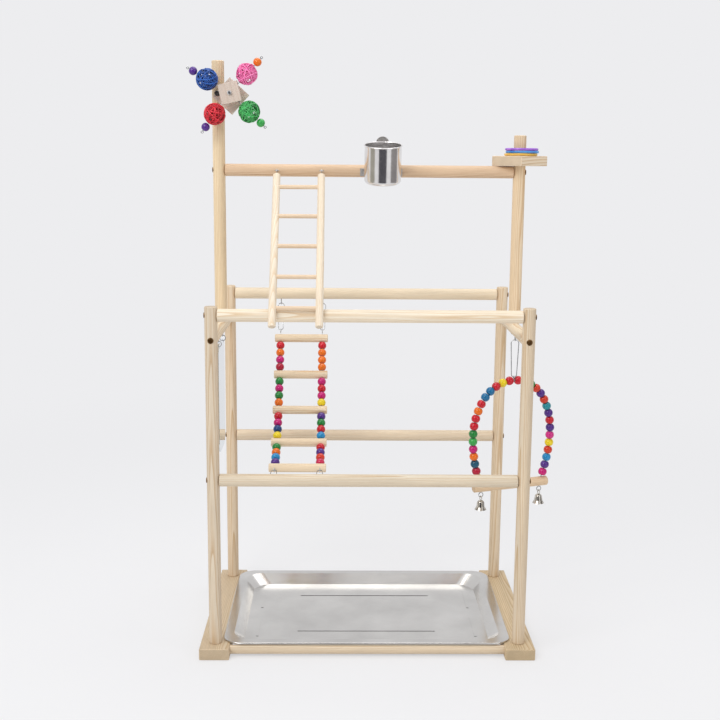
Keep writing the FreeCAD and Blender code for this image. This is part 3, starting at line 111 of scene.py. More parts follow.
def blank_material(name):
    """A material with only its output node; returns the material, tree and output."""
    material = bpy.data.materials.new(name)
    material.use_nodes = True
    tree = material.node_tree
    tree.nodes.clear()
    return material, tree, add(tree, "ShaderNodeOutputMaterial")


def mesh_object(name, verts, faces, material=None):
    """A new object of the scene with a mesh of its own."""
    mesh = bpy.data.meshes.new(name)
    mesh.from_pydata(verts, [], faces)
    if material:
        mesh.materials.append(material)
    return shown(name, mesh)


def seen_directly(tree):
    """1 for rays from the camera, off gloss or through glass, 0 for light that falls on things."""
    path = add(tree, "ShaderNodeLightPath")
    gloss = add(
        tree,
        "ShaderNodeMath",
        {"operation": "MAXIMUM"},
        {0: path.outputs["Is Camera Ray"], 1: path.outputs["Is Glossy Ray"]},
    )
    either = add(
        tree,
        "ShaderNodeMath",
        {"operation": "MAXIMUM"},
        {0: gloss.outputs[0], 1: path.outputs["Is Transmission Ray"]},
    )
    return either.outputs[0]


WALL_COLOUR, PAPER_COLOUR, ROOM_COLOUR = "#EDEDEF", "#F2F2F2", "#FBFBFF"
ROOM_LIGHT = 0.52
# The paper takes shadows near the stand and fades into the wall between these distances.
FADE_FROM, FADE_TO, GLOW_NEAR = 0.6, 2.6, 0.62
FLOOR_HALF = 9.0

world = bpy.data.worlds.new("studio")
world.use_nodes = True
bpy.context.scene.world = world
room = world.node_tree
room.nodes.clear()
room_light = add(room, "ShaderNodeBackground", None, {"Color": srgb(ROOM_COLOUR), "Strength": ROOM_LIGHT})
room_seen = add(room, "ShaderNodeBackground", None, {"Color": srgb(WALL_COLOUR), "Strength": 1.0})
room_mix = add(
    room,
    "ShaderNodeMixShader",
    None,
    {0: seen_directly(room), 1: room_light.outputs[0], 2: room_seen.outputs[0]},
)
add(room, "ShaderNodeOutputWorld", None, {"Surface": room_mix.outputs[0]})

paper, tree, out = blank_material("Matt studio paper")
paper_matt = add(tree, "ShaderNodeBsdfDiffuse", None, {"Color": srgb(PAPER_COLOUR)})
paper_glow = add(tree, "ShaderNodeEmission", None, {"Color": srgb(WALL_COLOUR), "Strength": 1.0})
where = add(tree, "ShaderNodeTexCoord")
away = add(tree, "ShaderNodeVectorMath", {"operation": "LENGTH"}, {0: where.outputs["Object"]})
fade = add(
    tree,
    "ShaderNodeMapRange",
    {"interpolation_type": "SMOOTHSTEP"},
    {"Value": away.outputs["Value"], "From Min": FADE_FROM, "From Max": FADE_TO, "To Min": GLOW_NEAR},
)
glow_share = add(
    tree, "ShaderNodeMath", {"operation": "MULTIPLY"}, {0: seen_directly(tree), 1: fade.outputs[0]}
)
paper_mix = add(
    tree,
    "ShaderNodeMixShader",
    None,
    {0: glow_share.outputs[0], 1: paper_matt.outputs[0], 2: paper_glow.outputs[0]},
)
tree.links.new(paper_mix.outputs[0], out.inputs["Surface"])

floor_corners = [(x * FLOOR_HALF, y * FLOOR_HALF, 0.0) for x, y in ((-1, -1), (1, -1), (1, 1), (-1, 1))]
mesh_object("floor", floor_corners, [(0, 1, 2, 3)], paper)

AIM = Vector((0.0, 0.0, 0.6))
for name, place, width, watts in (
    ("key", (-1.7, -2.3, 2.9), 2.2, 66.0),
    ("fill", (2.6, -1.9, 1.6), 1.6, 14.0),
    ("top", (0.2, 0.6, 3.4), 2.4, 40.0),
):
    lamp_data = bpy.data.lights.new(name, "AREA")
    lamp_data.shape = "SQUARE"
    lamp_data.size = width
    lamp_data.energy = watts
    lamp = shown(name, lamp_data)
    lamp.location = place
    lamp.rotation_euler = (AIM - Vector(place)).to_track_quat("-Z", "Y").to_euler()

# Grey screens in front and at both sides, which only gloss reflects: they
# give the polished metal its dark streaks.
SCREEN_FOOT = 0.05
for name, start, end, top, tone in (
    ("screen_front", (-0.78, -1.50), (0.60, -1.50), 1.6, "#55545A"),
    ("screen_right", (1.9, -1.62), (1.9, 0.2), 1.8, "#908D8D"),
    ("screen_left", (-1.9, -1.38), (-1.9, -0.13), 1.8, "#A6A398"),
):
    screen_cloth, tree, out = blank_material("Studio cloth, " + name)
    screen_glow = add(tree, "ShaderNodeEmission", None, {"Color": srgb(tone), "Strength": 1.0})
    tree.links.new(screen_glow.outputs[0], out.inputs["Surface"])
    corners = [(*start, SCREEN_FOOT), (*end, SCREEN_FOOT), (*end, top), (*start, top)]
    screen = mesh_object(name, corners, [(0, 1, 2, 3)], screen_cloth)
    for ray in ("visible_camera", "visible_diffuse", "visible_shadow", "visible_transmission"):
        setattr(screen, ray, False)


# ---------------------------------------------------------------- wooden frame
# Turned pine dowels, sanded and left bare, on two planed base boards. The same
# growth rings run through each piece, so its ends show the rings as arcs.
MM = 0.001


def finish(node, material):
    """Gives a CAD node its finish."""
    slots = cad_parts[node].data.materials
    for n in range(len(slots)):
        slots[n] = material


def middle_of(node):
    """The middle of a CAD node's box."""
    low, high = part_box(node)
    return (low + high) / 2


# The wave texture repeats this often for each metre at a scale of one.
WAVE_UNIT = 2 * math.pi / 20


def pine_skin(tree, node, along, pale, dark, seed, ring_width):
    """The shader of bare pine cut with its grain along a direction, for one CAD node."""
    draw = random.Random(seed)
    grain = Vector((0.0, 0.0, 1.0)).rotation_difference(Vector(along))
    # The heart of the tree lies well outside a dowel, so its lines run nearly straight.
    heart_angle = draw.uniform(0.0, 2 * math.pi)
    heart = Vector((math.cos(heart_angle), math.sin(heart_angle), 0.0)) * draw.uniform(34, 62) * MM
    lean = draw.uniform(0.3, 1.2)
    middle = middle_of(node) + grain @ heart
    where = add(tree, "ShaderNodeTexCoord")
    turned = grain.to_euler()
    turned.x += math.radians(lean)
    local = add(
        tree,
        "ShaderNodeMapping",
        {"vector_type": "TEXTURE"},
        {"Vector": where.outputs["Object"], "Location": middle, "Rotation": turned},
    )
    stretched = add(
        tree, "ShaderNodeVectorMath", {"operation": "MULTIPLY"}, {0: local.outputs[0], 1: (1.0, 1.0, 0.09)}
    )
    # Slow wander of the rings, some millimetres over a hand's length.
    wander = add(
        tree, "ShaderNodeTexNoise", None, {"Vector": stretched.outputs[0], "Scale": 26.0, "Detail": 2.0}
    )
    centred = add(
        tree,
        "ShaderNodeVectorMath",
        {"operation": "SUBTRACT"},
        {0: wander.outputs["Color"], 1: (0.5, 0.5, 0.5)},
    )
    shifted = add(
        tree,
        "ShaderNodeVectorMath",
        {"operation": "MULTIPLY_ADD"},
        {0: centred.outputs[0], 1: (0.011, 0.011, 0.0), 2: local.outputs[0]},
    )
    rings = add(
        tree,
        "ShaderNodeTexWave",
        {"wave_type": "RINGS", "rings_direction": "Z", "wave_profile": "SAW"},
        {"Vector": shifted.outputs[0], "Scale": WAVE_UNIT / (ring_width * MM)},
    )
    # Summer wood darkens towards the ring's edge and stops short; spring wood is pale.
    band = add(tree, "ShaderNodeValToRGB", None, {0: rings.outputs["Fac"]})
    band.color_ramp.elements[0].color = srgb(pale)
    band.color_ramp.elements[1].color = srgb(pale)
    for place, share in ((0.45, 0.18), (0.86, 0.85), (0.93, 1.0)):
        stop = band.color_ramp.elements.new(place)
        stop.color = [a + (b - a) * share for a, b in zip(srgb(pale), srgb(dark))]
    # Fibres about a millimetre apart: coarser than real, so that they show.
    fibre_space = add(
        tree, "ShaderNodeVectorMath", {"operation": "MULTIPLY"}, {0: local.outputs[0], 1: (1.0, 1.0, 0.03)}
    )
    fibres = add(
        tree, "ShaderNodeTexNoise", None, {"Vector": fibre_space.outputs[0], "Scale": 900.0, "Detail": 3.0}
    )
    patches = add(
        tree, "ShaderNodeTexNoise", None, {"Vector": stretched.outputs[0], "Scale": 60.0, "Detail": 3.0}
    )
    shade = add(
        tree,
        "ShaderNodeMapRange",
        None,
        {"Value": fibres.outputs["Fac"], "From Min": 0.3, "From Max": 0.7, "To Min": 0.93, "To Max": 1.04},
    )
    tone = add(
        tree,
        "ShaderNodeMapRange",
        None,
        {"Value": patches.outputs["Fac"], "From Min": 0.3, "From Max": 0.7, "To Min": 0.92, "To Max": 1.05},
    )
    # Cut ends drink in dirt and light, and look browner.
    facing = add(
        tree,
        "ShaderNodeVectorMath",
        {"operation": "DOT_PRODUCT"},
        {0: where.outputs["Normal"], 1: Vector(along)},
    )
    end = add(tree, "ShaderNodeMath", {"operation": "ABSOLUTE"}, {0: facing.outputs["Value"]})
    end_shade = add(
        tree,
        "ShaderNodeMapRange",
        None,
        {"Value": end.outputs[0], "From Min": 0.75, "From Max": 0.95, "To Min": 1.0, "To Max": 0.86},
    )
    together = add(
        tree, "ShaderNodeMath", {"operation": "MULTIPLY"}, {0: shade.outputs[0], 1: tone.outputs[0]}
    )
    darker = add(
        tree, "ShaderNodeMath", {"operation": "MULTIPLY"}, {0: together.outputs[0], 1: end_shade.outputs[0]}
    )
    colour = add(
        tree, "ShaderNodeVectorMath", {"operation": "SCALE"}, {0: band.outputs[0], "Scale": darker.outputs[0]}
    )
    rough = add(
        tree,
        "ShaderNodeMapRange",
        None,
        {"Value": fibres.outputs["Fac"], "From Min": 0.3, "From Max": 0.7, "To Min": 0.66, "To Max": 0.5},
    )
    height = add(
        tree, "ShaderNodeMath", {"operation": "ADD"}, {0: fibres.outputs["Fac"], 1: rings.outputs["Fac"]}
    )
    bump = add(
        tree, "ShaderNodeBump", None, {"Height": height.outputs[0], "Strength": 0.22, "Distance": 0.25 * MM}
    )
    skin = add(
        tree,
        "ShaderNodeBsdfPrincipled",
        None,
        {
            "Base Color": colour.outputs[0],
            "Roughness": rough.outputs[0],
            "IOR": 1.45,
            "Normal": bump.outputs[0],
        },
    )
    return skin.outputs[0]


def pine(name, node, along, pale, dark, seed, ring_width=2.6):
    """Bare sanded pine: pale, with soft lines and a faint sheen, for one CAD node."""
    material, tree, out = blank_material(name)
    skin = pine_skin(tree, node, along, pale, dark, seed, ring_width)
    tree.links.new(skin, out.inputs["Surface"])
    return material


ALONG_X, ALONG_Y, ALONG_Z = (1.0, 0.0, 0.0), (0.0, 1.0, 0.0), (0.0, 0.0, 1.0)
for seed, (node, along, pale, dark) in enumerate(
    (
        ("base_board_left", ALONG_Y, "#D6C4A8", "#BEA078"),
        ("base_board_right", ALONG_Y, "#D6C2A0", "#BA9B71"),
        ("cross_dowel_front", ALONG_X, "#E1D1B7", "#CCAE8A"),
        ("cross_dowel_back", ALONG_X, "#E4D0B1", "#CDAD85"),
        ("leg_front_left", ALONG_Z, "#DECFB8", "#C7AB88"),
        ("leg_front_right", ALONG_Z, "#E1D1B8", "#C9AB84"),
        ("leg_back_left", ALONG_Z, "#E6D2B6", "#CDAD85"),
        ("leg_back_right", ALONG_Z, "#E7D4B8", "#CEB088"),
        ("perch_front_top", ALONG_X, "#F4E9D4", "#DFC4A0"),
        ("perch_back_top", ALONG_X, "#F1E4CB", "#D9BC95"),
        ("perch_front_mid", ALONG_X, "#E2D7C2", "#CEB390"),
        ("perch_back_mid", ALONG_X, "#E8D9C1", "#D2B58F"),
        ("perch_upper", ALONG_X, "#E9CFAF", "#B98A60"),
        ("side_rail_left", ALONG_Y, "#EDDDC1", "#D6B790"),
        ("side_rail_right", ALONG_Y, "#EDDDC1", "#D6B790"),
        ("post_left", ALONG_Z, "#EFDBB8", "#D9B78B"),
        ("post_right", ALONG_Z, "#EED8B7", "#D6B388"),
    )
):
    label = "Sanded pine, " + node.replace("_", " ")
    ring_width = 2.3 + 0.25 * (seed % 4)
    finish(node, pine(label, node, along, pale, dark, seed, ring_width))


# ---------------------------------------------------------------- screws and screw eyes
# Furniture screws with a bronze coloured plating, and wire screw eyes bent from
# zinc plated steel, all dulled a little by handling.
def plated(name, pale, dark, roughness):
    """Plated metal: cloudy, with fine pits, and smoother where it has been rubbed."""
    material, tree, out = blank_material(name)
    where = add(tree, "ShaderNodeTexCoord")
    clouds = add(
        tree, "ShaderNodeTexNoise", None, {"Vector": where.outputs["Object"], "Scale": 160.0, "Detail": 4.0}
    )
    pits = add(
        tree, "ShaderNodeTexNoise", None, {"Vector": where.outputs["Object"], "Scale": 500.0, "Detail": 2.0}
    )
    colour = add(tree, "ShaderNodeValToRGB", None, {0: clouds.outputs["Fac"]})
    colour.color_ramp.elements[0].position = 0.32
    colour.color_ramp.elements[0].color = srgb(dark)
    colour.color_ramp.elements[1].position = 0.62
    colour.color_ramp.elements[1].color = srgb(pale)
    rough = add(
        tree,
        "ShaderNodeMapRange",
        None,
        {
            "Value": clouds.outputs["Fac"],
            "From Min": 0.3,
            "From Max": 0.7,
            "To Min": roughness * 1.4,
            "To Max": roughness * 0.75,
        },
    )
    bump = add(
        tree, "ShaderNodeBump", None, {"Height": pits.outputs["Fac"], "Strength": 0.12, "Distance": 0.1 * MM}
    )
    skin = add(
        tree,
        "ShaderNodeBsdfPrincipled",
        None,
        {
            "Base Color": colour.outputs[0],
            "Metallic": 1.0,
            "Roughness": rough.outputs[0],
            "Normal": bump.outputs[0],
        },
    )
    tree.links.new(skin.outputs[0], out.inputs["Surface"])
    return material


finish("frame_screws", plated("Bronze plated steel", "#8C6B45", "#5E452B", 0.34))
zinc = plated("Zinc plated wire", "#C9CACB", "#8F9193", 0.24)
finish("screw_eyes", zinc)

# ---------------------------------------------------------------- tray
# A shallow pan pressed from one sheet of stainless steel, with a rolled edge and
# grooves. The sheet keeps its satin mill grain, with a few rubbed places.
steel, tree, out = blank_material("Satin stainless steel, pressed")
where = add(tree, "ShaderNodeTexCoord")
# Mill lines 0.7 mm apart and some centimetres long: coarser than real, so that they show.
mill_space = add(
    tree, "ShaderNodeVectorMath", {"operation": "MULTIPLY"}, {0: where.outputs["Object"], 1: (0.02, 1.0, 1.0)}
)
mill = add(
    tree, "ShaderNodeTexNoise", None, {"Vector": mill_space.outputs[0], "Scale": 1400.0, "Detail": 3.0}
)
smears = add(
    tree, "ShaderNodeTexNoise", None, {"Vector": where.outputs["Object"], "Scale": 9.0, "Detail": 5.0}
)
steel_colour = add(tree, "ShaderNodeValToRGB", None, {0: smears.outputs["Fac"]})
steel_colour.color_ramp.elements[0].position = 0.3
steel_colour.color_ramp.elements[0].color = srgb("#C3C1BE")
steel_colour.color_ramp.elements[1].position = 0.7
steel_colour.color_ramp.elements[1].color = srgb("#D5D3D0")
steel_rough = add(
    tree,
    "ShaderNodeMapRange",
    None,
    {"Value": mill.outputs["Fac"], "From Min": 0.3, "From Max": 0.7, "To Min": 0.13, "To Max": 0.26},
)
steel_bump = add(
    tree, "ShaderNodeBump", None, {"Height": mill.outputs["Fac"], "Strength": 0.1, "Distance": 0.08 * MM}
)
steel_skin = add(
    tree,
    "ShaderNodeBsdfPrincipled",
    None,
    {
        "Base Color": steel_colour.outputs[0],
        "Metallic": 1.0,
        "Roughness": steel_rough.outputs[0],
        "Normal": steel_bump.outputs[0],
    },
)
tree.links.new(steel_skin.outputs[0], out.inputs["Surface"])
finish("tray", steel)

# ---------------------------------------------------------------- cup
# A round cup spun from stainless steel and polished, so that fine rings run round
# it. Its bracket is cut from the same sheet and clips over the upper perch.
CUP_LEAN = (math.radians(11.0), 0.0, 0.0)
# A face's distance from the cup's middle line, times how far it faces away from it, is
# 37 mm on the wall's outside and nought or less inside, so this parts the two.
CUP_WALL_FROM = 10 * MM
polished, tree, out = blank_material("Polished stainless steel, spun")
where = add(tree, "ShaderNodeTexCoord")
upright_cup = add(
    tree,
    "ShaderNodeMapping",
    {"vector_type": "TEXTURE"},
    {"Vector": where.outputs["Object"], "Location": middle_of("cup"), "Rotation": CUP_LEAN},
)
ring_space = add(
    tree, "ShaderNodeVectorMath", {"operation": "MULTIPLY"}, {0: upright_cup.outputs[0], 1: (0.03, 0.03, 1.0)}
)
spun = add(tree, "ShaderNodeTexNoise", None, {"Vector": ring_space.outputs[0], "Scale": 900.0, "Detail": 3.0})
cup_smears = add(
    tree, "ShaderNodeTexNoise", None, {"Vector": upright_cup.outputs[0], "Scale": 30.0, "Detail": 4.0}
)
cup_colour = add(tree, "ShaderNodeValToRGB", None, {0: cup_smears.outputs["Fac"]})
cup_colour.color_ramp.elements[0].position = 0.3
cup_colour.color_ramp.elements[0].color = srgb("#DDDAD9")
cup_colour.color_ramp.elements[1].position = 0.7
cup_colour.color_ramp.elements[1].color = srgb("#F0EEED")
cup_rough = add(
    tree,
    "ShaderNodeMapRange",
    None,
    {"Value": spun.outputs["Fac"], "From Min": 0.3, "From Max": 0.7, "To Min": 0.11, "To Max": 0.2},
)
# Where the wall faces away from the cup's middle line it is polished. The inside is left
# a little duller by the spinning.
across_cup = add(
    tree, "ShaderNodeVectorMath", {"operation": "MULTIPLY"}, {0: upright_cup.outputs[0], 1: (1.0, 1.0, 0.0)}
)
facing_cup = add(
    tree,
    "ShaderNodeMapping",
    {"vector_type": "TEXTURE"},
    {"Vector": where.outputs["Normal"], "Rotation": CUP_LEAN},
)
outward = add(
    tree,
    "ShaderNodeVectorMath",
    {"operation": "DOT_PRODUCT"},
    {0: across_cup.outputs[0], 1: facing_cup.outputs[0]},
)
outer = add(
    tree, "ShaderNodeMath", {"operation": "GREATER_THAN"}, {0: outward.outputs["Value"], 1: CUP_WALL_FROM}
)
cup_metal = add(tree, "ShaderNodeMapRange", None, {"Value": outer.outputs[0], "To Min": 0.97, "To Max": 1.0})
cup_satin = add(tree, "ShaderNodeMapRange", None, {"Value": outer.outputs[0], "To Min": 0.12, "To Max": 0.0})
cup_sheen = add(
    tree, "ShaderNodeMath", {"operation": "ADD"}, {0: cup_rough.outputs[0], 1: cup_satin.outputs[0]}
)
cup_bump = add(
    tree, "ShaderNodeBump", None, {"Height": spun.outputs["Fac"], "Strength": 0.1, "Distance": 0.06 * MM}
)
cup_skin = add(
    tree,
    "ShaderNodeBsdfPrincipled",
    None,
    {
        "Base Color": cup_colour.outputs[0],
        "Metallic": cup_metal.outputs[0],
        "Roughness": cup_sheen.outputs[0],
        "Normal": cup_bump.outputs[0],
    },
)
tree.links.new(cup_skin.outputs[0], out.inputs["Surface"])
finish("cup", polished)
finish("cup_bracket", plated("Satin stainless steel, cut and bent", "#D5D2CF", "#A9A5A2", 0.5))

# ---------------------------------------------------------------- pinwheel plates and wires
# Two squares of thin greyish board on a bolt with hexagon nuts, and four straight
# wire arms whose ends are curled over to keep the beads on.
for node, name, along, pale, dark, seed in (
    ("pinwheel_hub", "Sawn softwood, hub", (-0.23, 0.0, 0.97), "#D5C5B7", "#CBB9AA", 41),
    # Painted light: the back plate's colour is lighter than the hub's to make up for the shade the hub casts
    # on it. Both are the same board.
    ("pinwheel_back_plate", "Sawn softwood, plate", (0.9, 0.0, 0.43), "#E6D8C8", "#DAC8B7", 42),
):
    finish(node, pine(name, node, along, pale, dark, seed, ring_width=8.0))
finish("pinwheel_plate_screw", plated("Dark plated screw", "#8E8A84", "#5F5B57", 0.3))
finish("pinwheel_bolt", zinc)
finish("pinwheel_nuts", plated("Bright zinc nuts", "#F4F5F6", "#D2D4D6", 0.42))
finish("pinwheel_arms", zinc)


# ---------------------------------------------------------------- woven balls
# Each ball is woven from split rattan, dyed through: strands 2.5 mm wide that cross
# at all angles round a hollow middle, held by their own spring.
def point_cloud(name, rows):
    """A mesh of loose points; each row gives a place, a way along, a size and a colour."""
    points = mesh_object(name, [row[0] for row in rows], [])
    # Each attribute is filled before the next is made, because making one moves the others.
    for column, attribute, kind, field in (
        (1, "along", "FLOAT_VECTOR", "vector"),
        (2, "size", "FLOAT", "value"),
        (3, "paint", "FLOAT_COLOR", "color"),
    ):
        values = points.data.attributes.new(attribute, kind, "POINT").data
        for value, row in zip(values, rows):
            setattr(value, field, row[column])
    return points


def copies_tree():
    """Sets a copy of an object on each point, turned along it, then shakes and merges them."""
    tree = bpy.data.node_groups.new("copies on points", "GeometryNodeTree")
    for name, kind in (
        ("Points", "NodeSocketGeometry"),
        ("Copy", "NodeSocketObject"),
        ("Wobble", "NodeSocketFloat"),
        ("Wobble Scale", "NodeSocketFloat"),
        ("Finish", "NodeSocketMaterial"),
    ):
        tree.interface.new_socket(name, in_out="INPUT", socket_type=kind)
    tree.interface.new_socket("Geometry", in_out="OUTPUT", socket_type="NodeSocketGeometry")
    given = add(tree, "NodeGroupInput").outputs
    source = add(tree, "GeometryNodeObjectInfo", None, {"Object": given["Copy"]})
    along = add(tree, "GeometryNodeInputNamedAttribute", {"data_type": "FLOAT_VECTOR"}, {"Name": "along"})
    size = add(tree, "GeometryNodeInputNamedAttribute", {"data_type": "FLOAT"}, {"Name": "size"})
    turn = add(
        tree, "FunctionNodeAlignRotationToVector", {"axis": "Z"}, {"Vector": along.outputs["Attribute"]}
    )
    set_out = add(
        tree,
        "GeometryNodeInstanceOnPoints",
        None,
        {
            "Points": given["Points"],
            "Instance": source.outputs["Geometry"],
            "Rotation": turn.outputs[0],
            "Scale": size.outputs["Attribute"],
        },
    )
    whole = add(tree, "GeometryNodeRealizeInstances", None, {"Geometry": set_out.outputs[0]})
    uneven = add(tree, "ShaderNodeTexNoise", None, {"Scale": given["Wobble Scale"], "Detail": 1.0})
    centred = add(
        tree,
        "ShaderNodeVectorMath",
        {"operation": "SUBTRACT"},
        {0: uneven.outputs["Color"], 1: (0.5, 0.5, 0.5)},
    )
    shake = add(
        tree,
        "ShaderNodeVectorMath",
        {"operation": "SCALE"},
        {0: centred.outputs[0], "Scale": given["Wobble"]},
    )
    shaken = add(
        tree, "GeometryNodeSetPosition", None, {"Geometry": whole.outputs[0], "Offset": shake.outputs[0]}
    )
    smooth = add(tree, "GeometryNodeSetShadeSmooth", None, {"Geometry": shaken.outputs[0]})
    painted = add(
        tree, "GeometryNodeSetMaterial", None, {"Geometry": smooth.outputs[0], "Material": given["Finish"]}
    )
    add(tree, "NodeGroupOutput", None, {0: painted.outputs[0]})
    return tree


copies = copies_tree()
copies_inputs = {
    item.name: item.identifier for item in copies.interface.items_tree if item.in_out == "INPUT"
}


def set_copies(name, rows, source, material, wobble=0.0, wobble_scale=1.0):
    """Runs the copies tree and keeps its result as a plain mesh."""
    points = point_cloud(name + "_points", rows)
    modifier = points.modifiers.new("copies", "NODES")
    modifier.node_group = copies
    modifier[copies_inputs["Copy"]] = source
    modifier[copies_inputs["Wobble"]] = wobble
    modifier[copies_inputs["Wobble Scale"]] = wobble_scale
    modifier[copies_inputs["Finish"]] = material
    points.update_tag()
    bpy.context.view_layer.update()
    graph = bpy.context.evaluated_depsgraph_get()
    mesh = bpy.data.meshes.new_from_object(
        points.evaluated_get(graph), preserve_all_data_layers=True, depsgraph=graph
    )
    piece = shown(name, mesh)
    bpy.data.objects.remove(points)
    return piece


def spun_shape(name, outline, steps):
    """A closed outline of (radius, height) points spun round Z."""
    verts, faces = [], []
    for n in range(steps):
        angle = 2 * math.pi * n / steps
        verts += [(r * math.cos(angle), r * math.sin(angle), z) for r, z in outline]
    count = len(outline)
    for n in range(steps):
        here, there = n * count, (n + 1) % steps * count
        for k in range(count):
            after = (k + 1) % count
            faces.append((here + k, there + k, there + after, here + after))
    shape = mesh_object(name, verts, faces)
    for face in shape.data.polygons:
        face.use_smooth = True
    return shape


def rattan(name, pale, dark):
    """Dyed split rattan: the dye lies unevenly, its paler patches doubling as painted glints on the strands,
    and ribs catch the light.
    """
    material, tree, out = blank_material(name)
    where = add(tree, "ShaderNodeTexCoord")
    strand = add(tree, "ShaderNodeAttribute", {"attribute_name": "paint"})
    # Painted highlight: the paler patches of this noise stand partly for glints off the strands and partly
    # for uneven dye.
    dye_and_glint = add(
        tree, "ShaderNodeTexNoise", None, {"Vector": where.outputs["Object"], "Scale": 260.0, "Detail": 4.0}
    )
    fibre = add(
        tree, "ShaderNodeTexNoise", None, {"Vector": where.outputs["Object"], "Scale": 1500.0, "Detail": 2.0}
    )
    mixed = add(
        tree, "ShaderNodeMath", {"operation": "MULTIPLY"}, {0: strand.outputs["Fac"], 1: dye_and_glint.outputs["Fac"]}
    )
    colour = add(tree, "ShaderNodeValToRGB", None, {0: mixed.outputs[0]})
    colour.color_ramp.elements[0].position = 0.14
    colour.color_ramp.elements[0].color = srgb(dark)
    colour.color_ramp.elements[1].position = 0.46
    colour.color_ramp.elements[1].color = srgb(pale)
    rough = add(
        tree,
        "ShaderNodeMapRange",
        None,
        {"Value": fibre.outputs["Fac"], "From Min": 0.3, "From Max": 0.7, "To Min": 0.36, "To Max": 0.6},
    )
    bump = add(
        tree, "ShaderNodeBump", None, {"Height": fibre.outputs["Fac"], "Strength": 0.4, "Distance": 0.2 * MM}
    )
    skin = add(
        tree,
        "ShaderNodeBsdfPrincipled",
        None,
        {"Base Color": colour.outputs[0], "Roughness": rough.outputs[0], "Normal": bump.outputs[0]},
    )
    tree.links.new(skin.outputs[0], out.inputs["Surface"])
    return material


BALL_RADIUS = 22.5 * MM
STRAND_HALF_WIDTH, STRAND_HALF_THICKNESS = 1.25 * MM, 0.85 * MM
STRAND_SIDES, HOOP_STEPS = 6, 40
# Each ball has hoops of strand, some deeper in than others, none far from a great circle.
HOOPS, HOOP_DEPTHS, HOOP_SHIFT = 40, (1.0, 0.95, 0.88), 0.62
WOBBLE, WOBBLE_SCALE, WOBBLE_ROOM = 0.9 * MM, 110.0, 0.5 * MM
FIRST_BALL_SEED = 100

hoop_radius = BALL_RADIUS - STRAND_HALF_THICKNESS - WOBBLE_ROOM
strand_section = [
    (hoop_radius + STRAND_HALF_THICKNESS * math.cos(angle), STRAND_HALF_WIDTH * math.sin(angle))
    for angle in (2 * math.pi * n / STRAND_SIDES for n in range(STRAND_SIDES))
]
hoop = spun_shape("hoop", strand_section, HOOP_STEPS)
for seed, (colour, pale, dark) in enumerate(
    (
        ("pink", "#FF8CC4", "#D3357F"),
        ("blue", "#2C66BE", "#0B2258"),
        ("red", "#EE3040", "#8E0B18"),
        ("green", "#4CC066", "#0F5C25"),
    )
):
    node = "ball_" + colour
    middle = middle_of(node)
    draw = random.Random(FIRST_BALL_SEED + seed)
    rows = []
    for n in range(HOOPS):
        normal = Vector([draw.gauss(0.0, 1.0) for _ in range(3)]).normalized()
        offset = draw.uniform(-HOOP_SHIFT, HOOP_SHIFT)
        depth = draw.choice(HOOP_DEPTHS)
        lightness = draw.uniform(0.4, 1.0)
        place = middle + normal * offset * hoop_radius * depth
        size = math.sqrt(1 - offset * offset) * depth
        rows.append((place, normal, size, (lightness, lightness, lightness, 1.0)))
    dyed = rattan("Dyed rattan, " + colour, pale, dark)
    ball = set_copies("woven_" + colour, rows, hoop, dyed, WOBBLE, WOBBLE_SCALE)
    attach(ball, node)
    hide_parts(node)
bpy.data.objects.remove(hoop)

# ---------------------------------------------------------------- painted beads on the pinwheel
# Turned wooden beads, dipped in glossy paint, one at the end of each arm. The dip
# leaves a soft skin with faint ripples and slightly rubbed places.
PAINTS = {
    "red": "#D3142A",
    "crimson": "#B80D36",
    "orange": "#F4760E",
    "orange-red": "#DC3C20",
    "yellow": "#F8DC1E",
    "light green": "#3DAE52",
    "green": "#1F8A3A",
    "teal": "#1F93A0",
    "dark teal": "#0E5470",
    "light blue": "#2191CC",
    "blue": "#1A73A6",
    "dark blue": "#173F7E",
    "purple": "#562C8C",
    "magenta": "#D01378",
    "pink": "#E2308E",
    "pink-red": "#D22C58",
}

paint, tree, out = blank_material("Dipped gloss paint on wood")
where = add(tree, "ShaderNodeTexCoord")
own = add(tree, "ShaderNodeAttribute", {"attribute_name": "paint"})
ripple = add(
    tree, "ShaderNodeTexNoise", None, {"Vector": where.outputs["Object"], "Scale": 420.0, "Detail": 3.0}
)
rubbed = add(
    tree, "ShaderNodeTexNoise", None, {"Vector": where.outputs["Object"], "Scale": 150.0, "Detail": 4.0}
)
depth = add(
    tree,
    "ShaderNodeMapRange",
    None,
    {"Value": rubbed.outputs["Fac"], "From Min": 0.3, "From Max": 0.7, "To Min": 0.76, "To Max": 0.98},
)
paint_colour = add(
    tree, "ShaderNodeVectorMath", {"operation": "SCALE"}, {0: own.outputs["Color"], "Scale": depth.outputs[0]}
)
paint_rough = add(
    tree,
    "ShaderNodeMapRange",
    None,
    {"Value": ripple.outputs["Fac"], "From Min": 0.3, "From Max": 0.7, "To Min": 0.15, "To Max": 0.27},
)
paint_bump = add(
    tree, "ShaderNodeBump", None, {"Height": ripple.outputs["Fac"], "Strength": 0.14, "Distance": 0.2 * MM}
)
paint_skin = add(
    tree,
    "ShaderNodeBsdfPrincipled",
    None,
    {
        "Base Color": paint_colour.outputs[0],
        "Roughness": paint_rough.outputs[0],
        "IOR": 1.5,
        "Normal": paint_bump.outputs[0],
    },
)
tree.links.new(paint_skin.outputs[0], out.inputs["Surface"])


PAINT_SOFTENING = 0.35 * MM
BEAD_SIDES, BELLY_STEPS = 24, 11


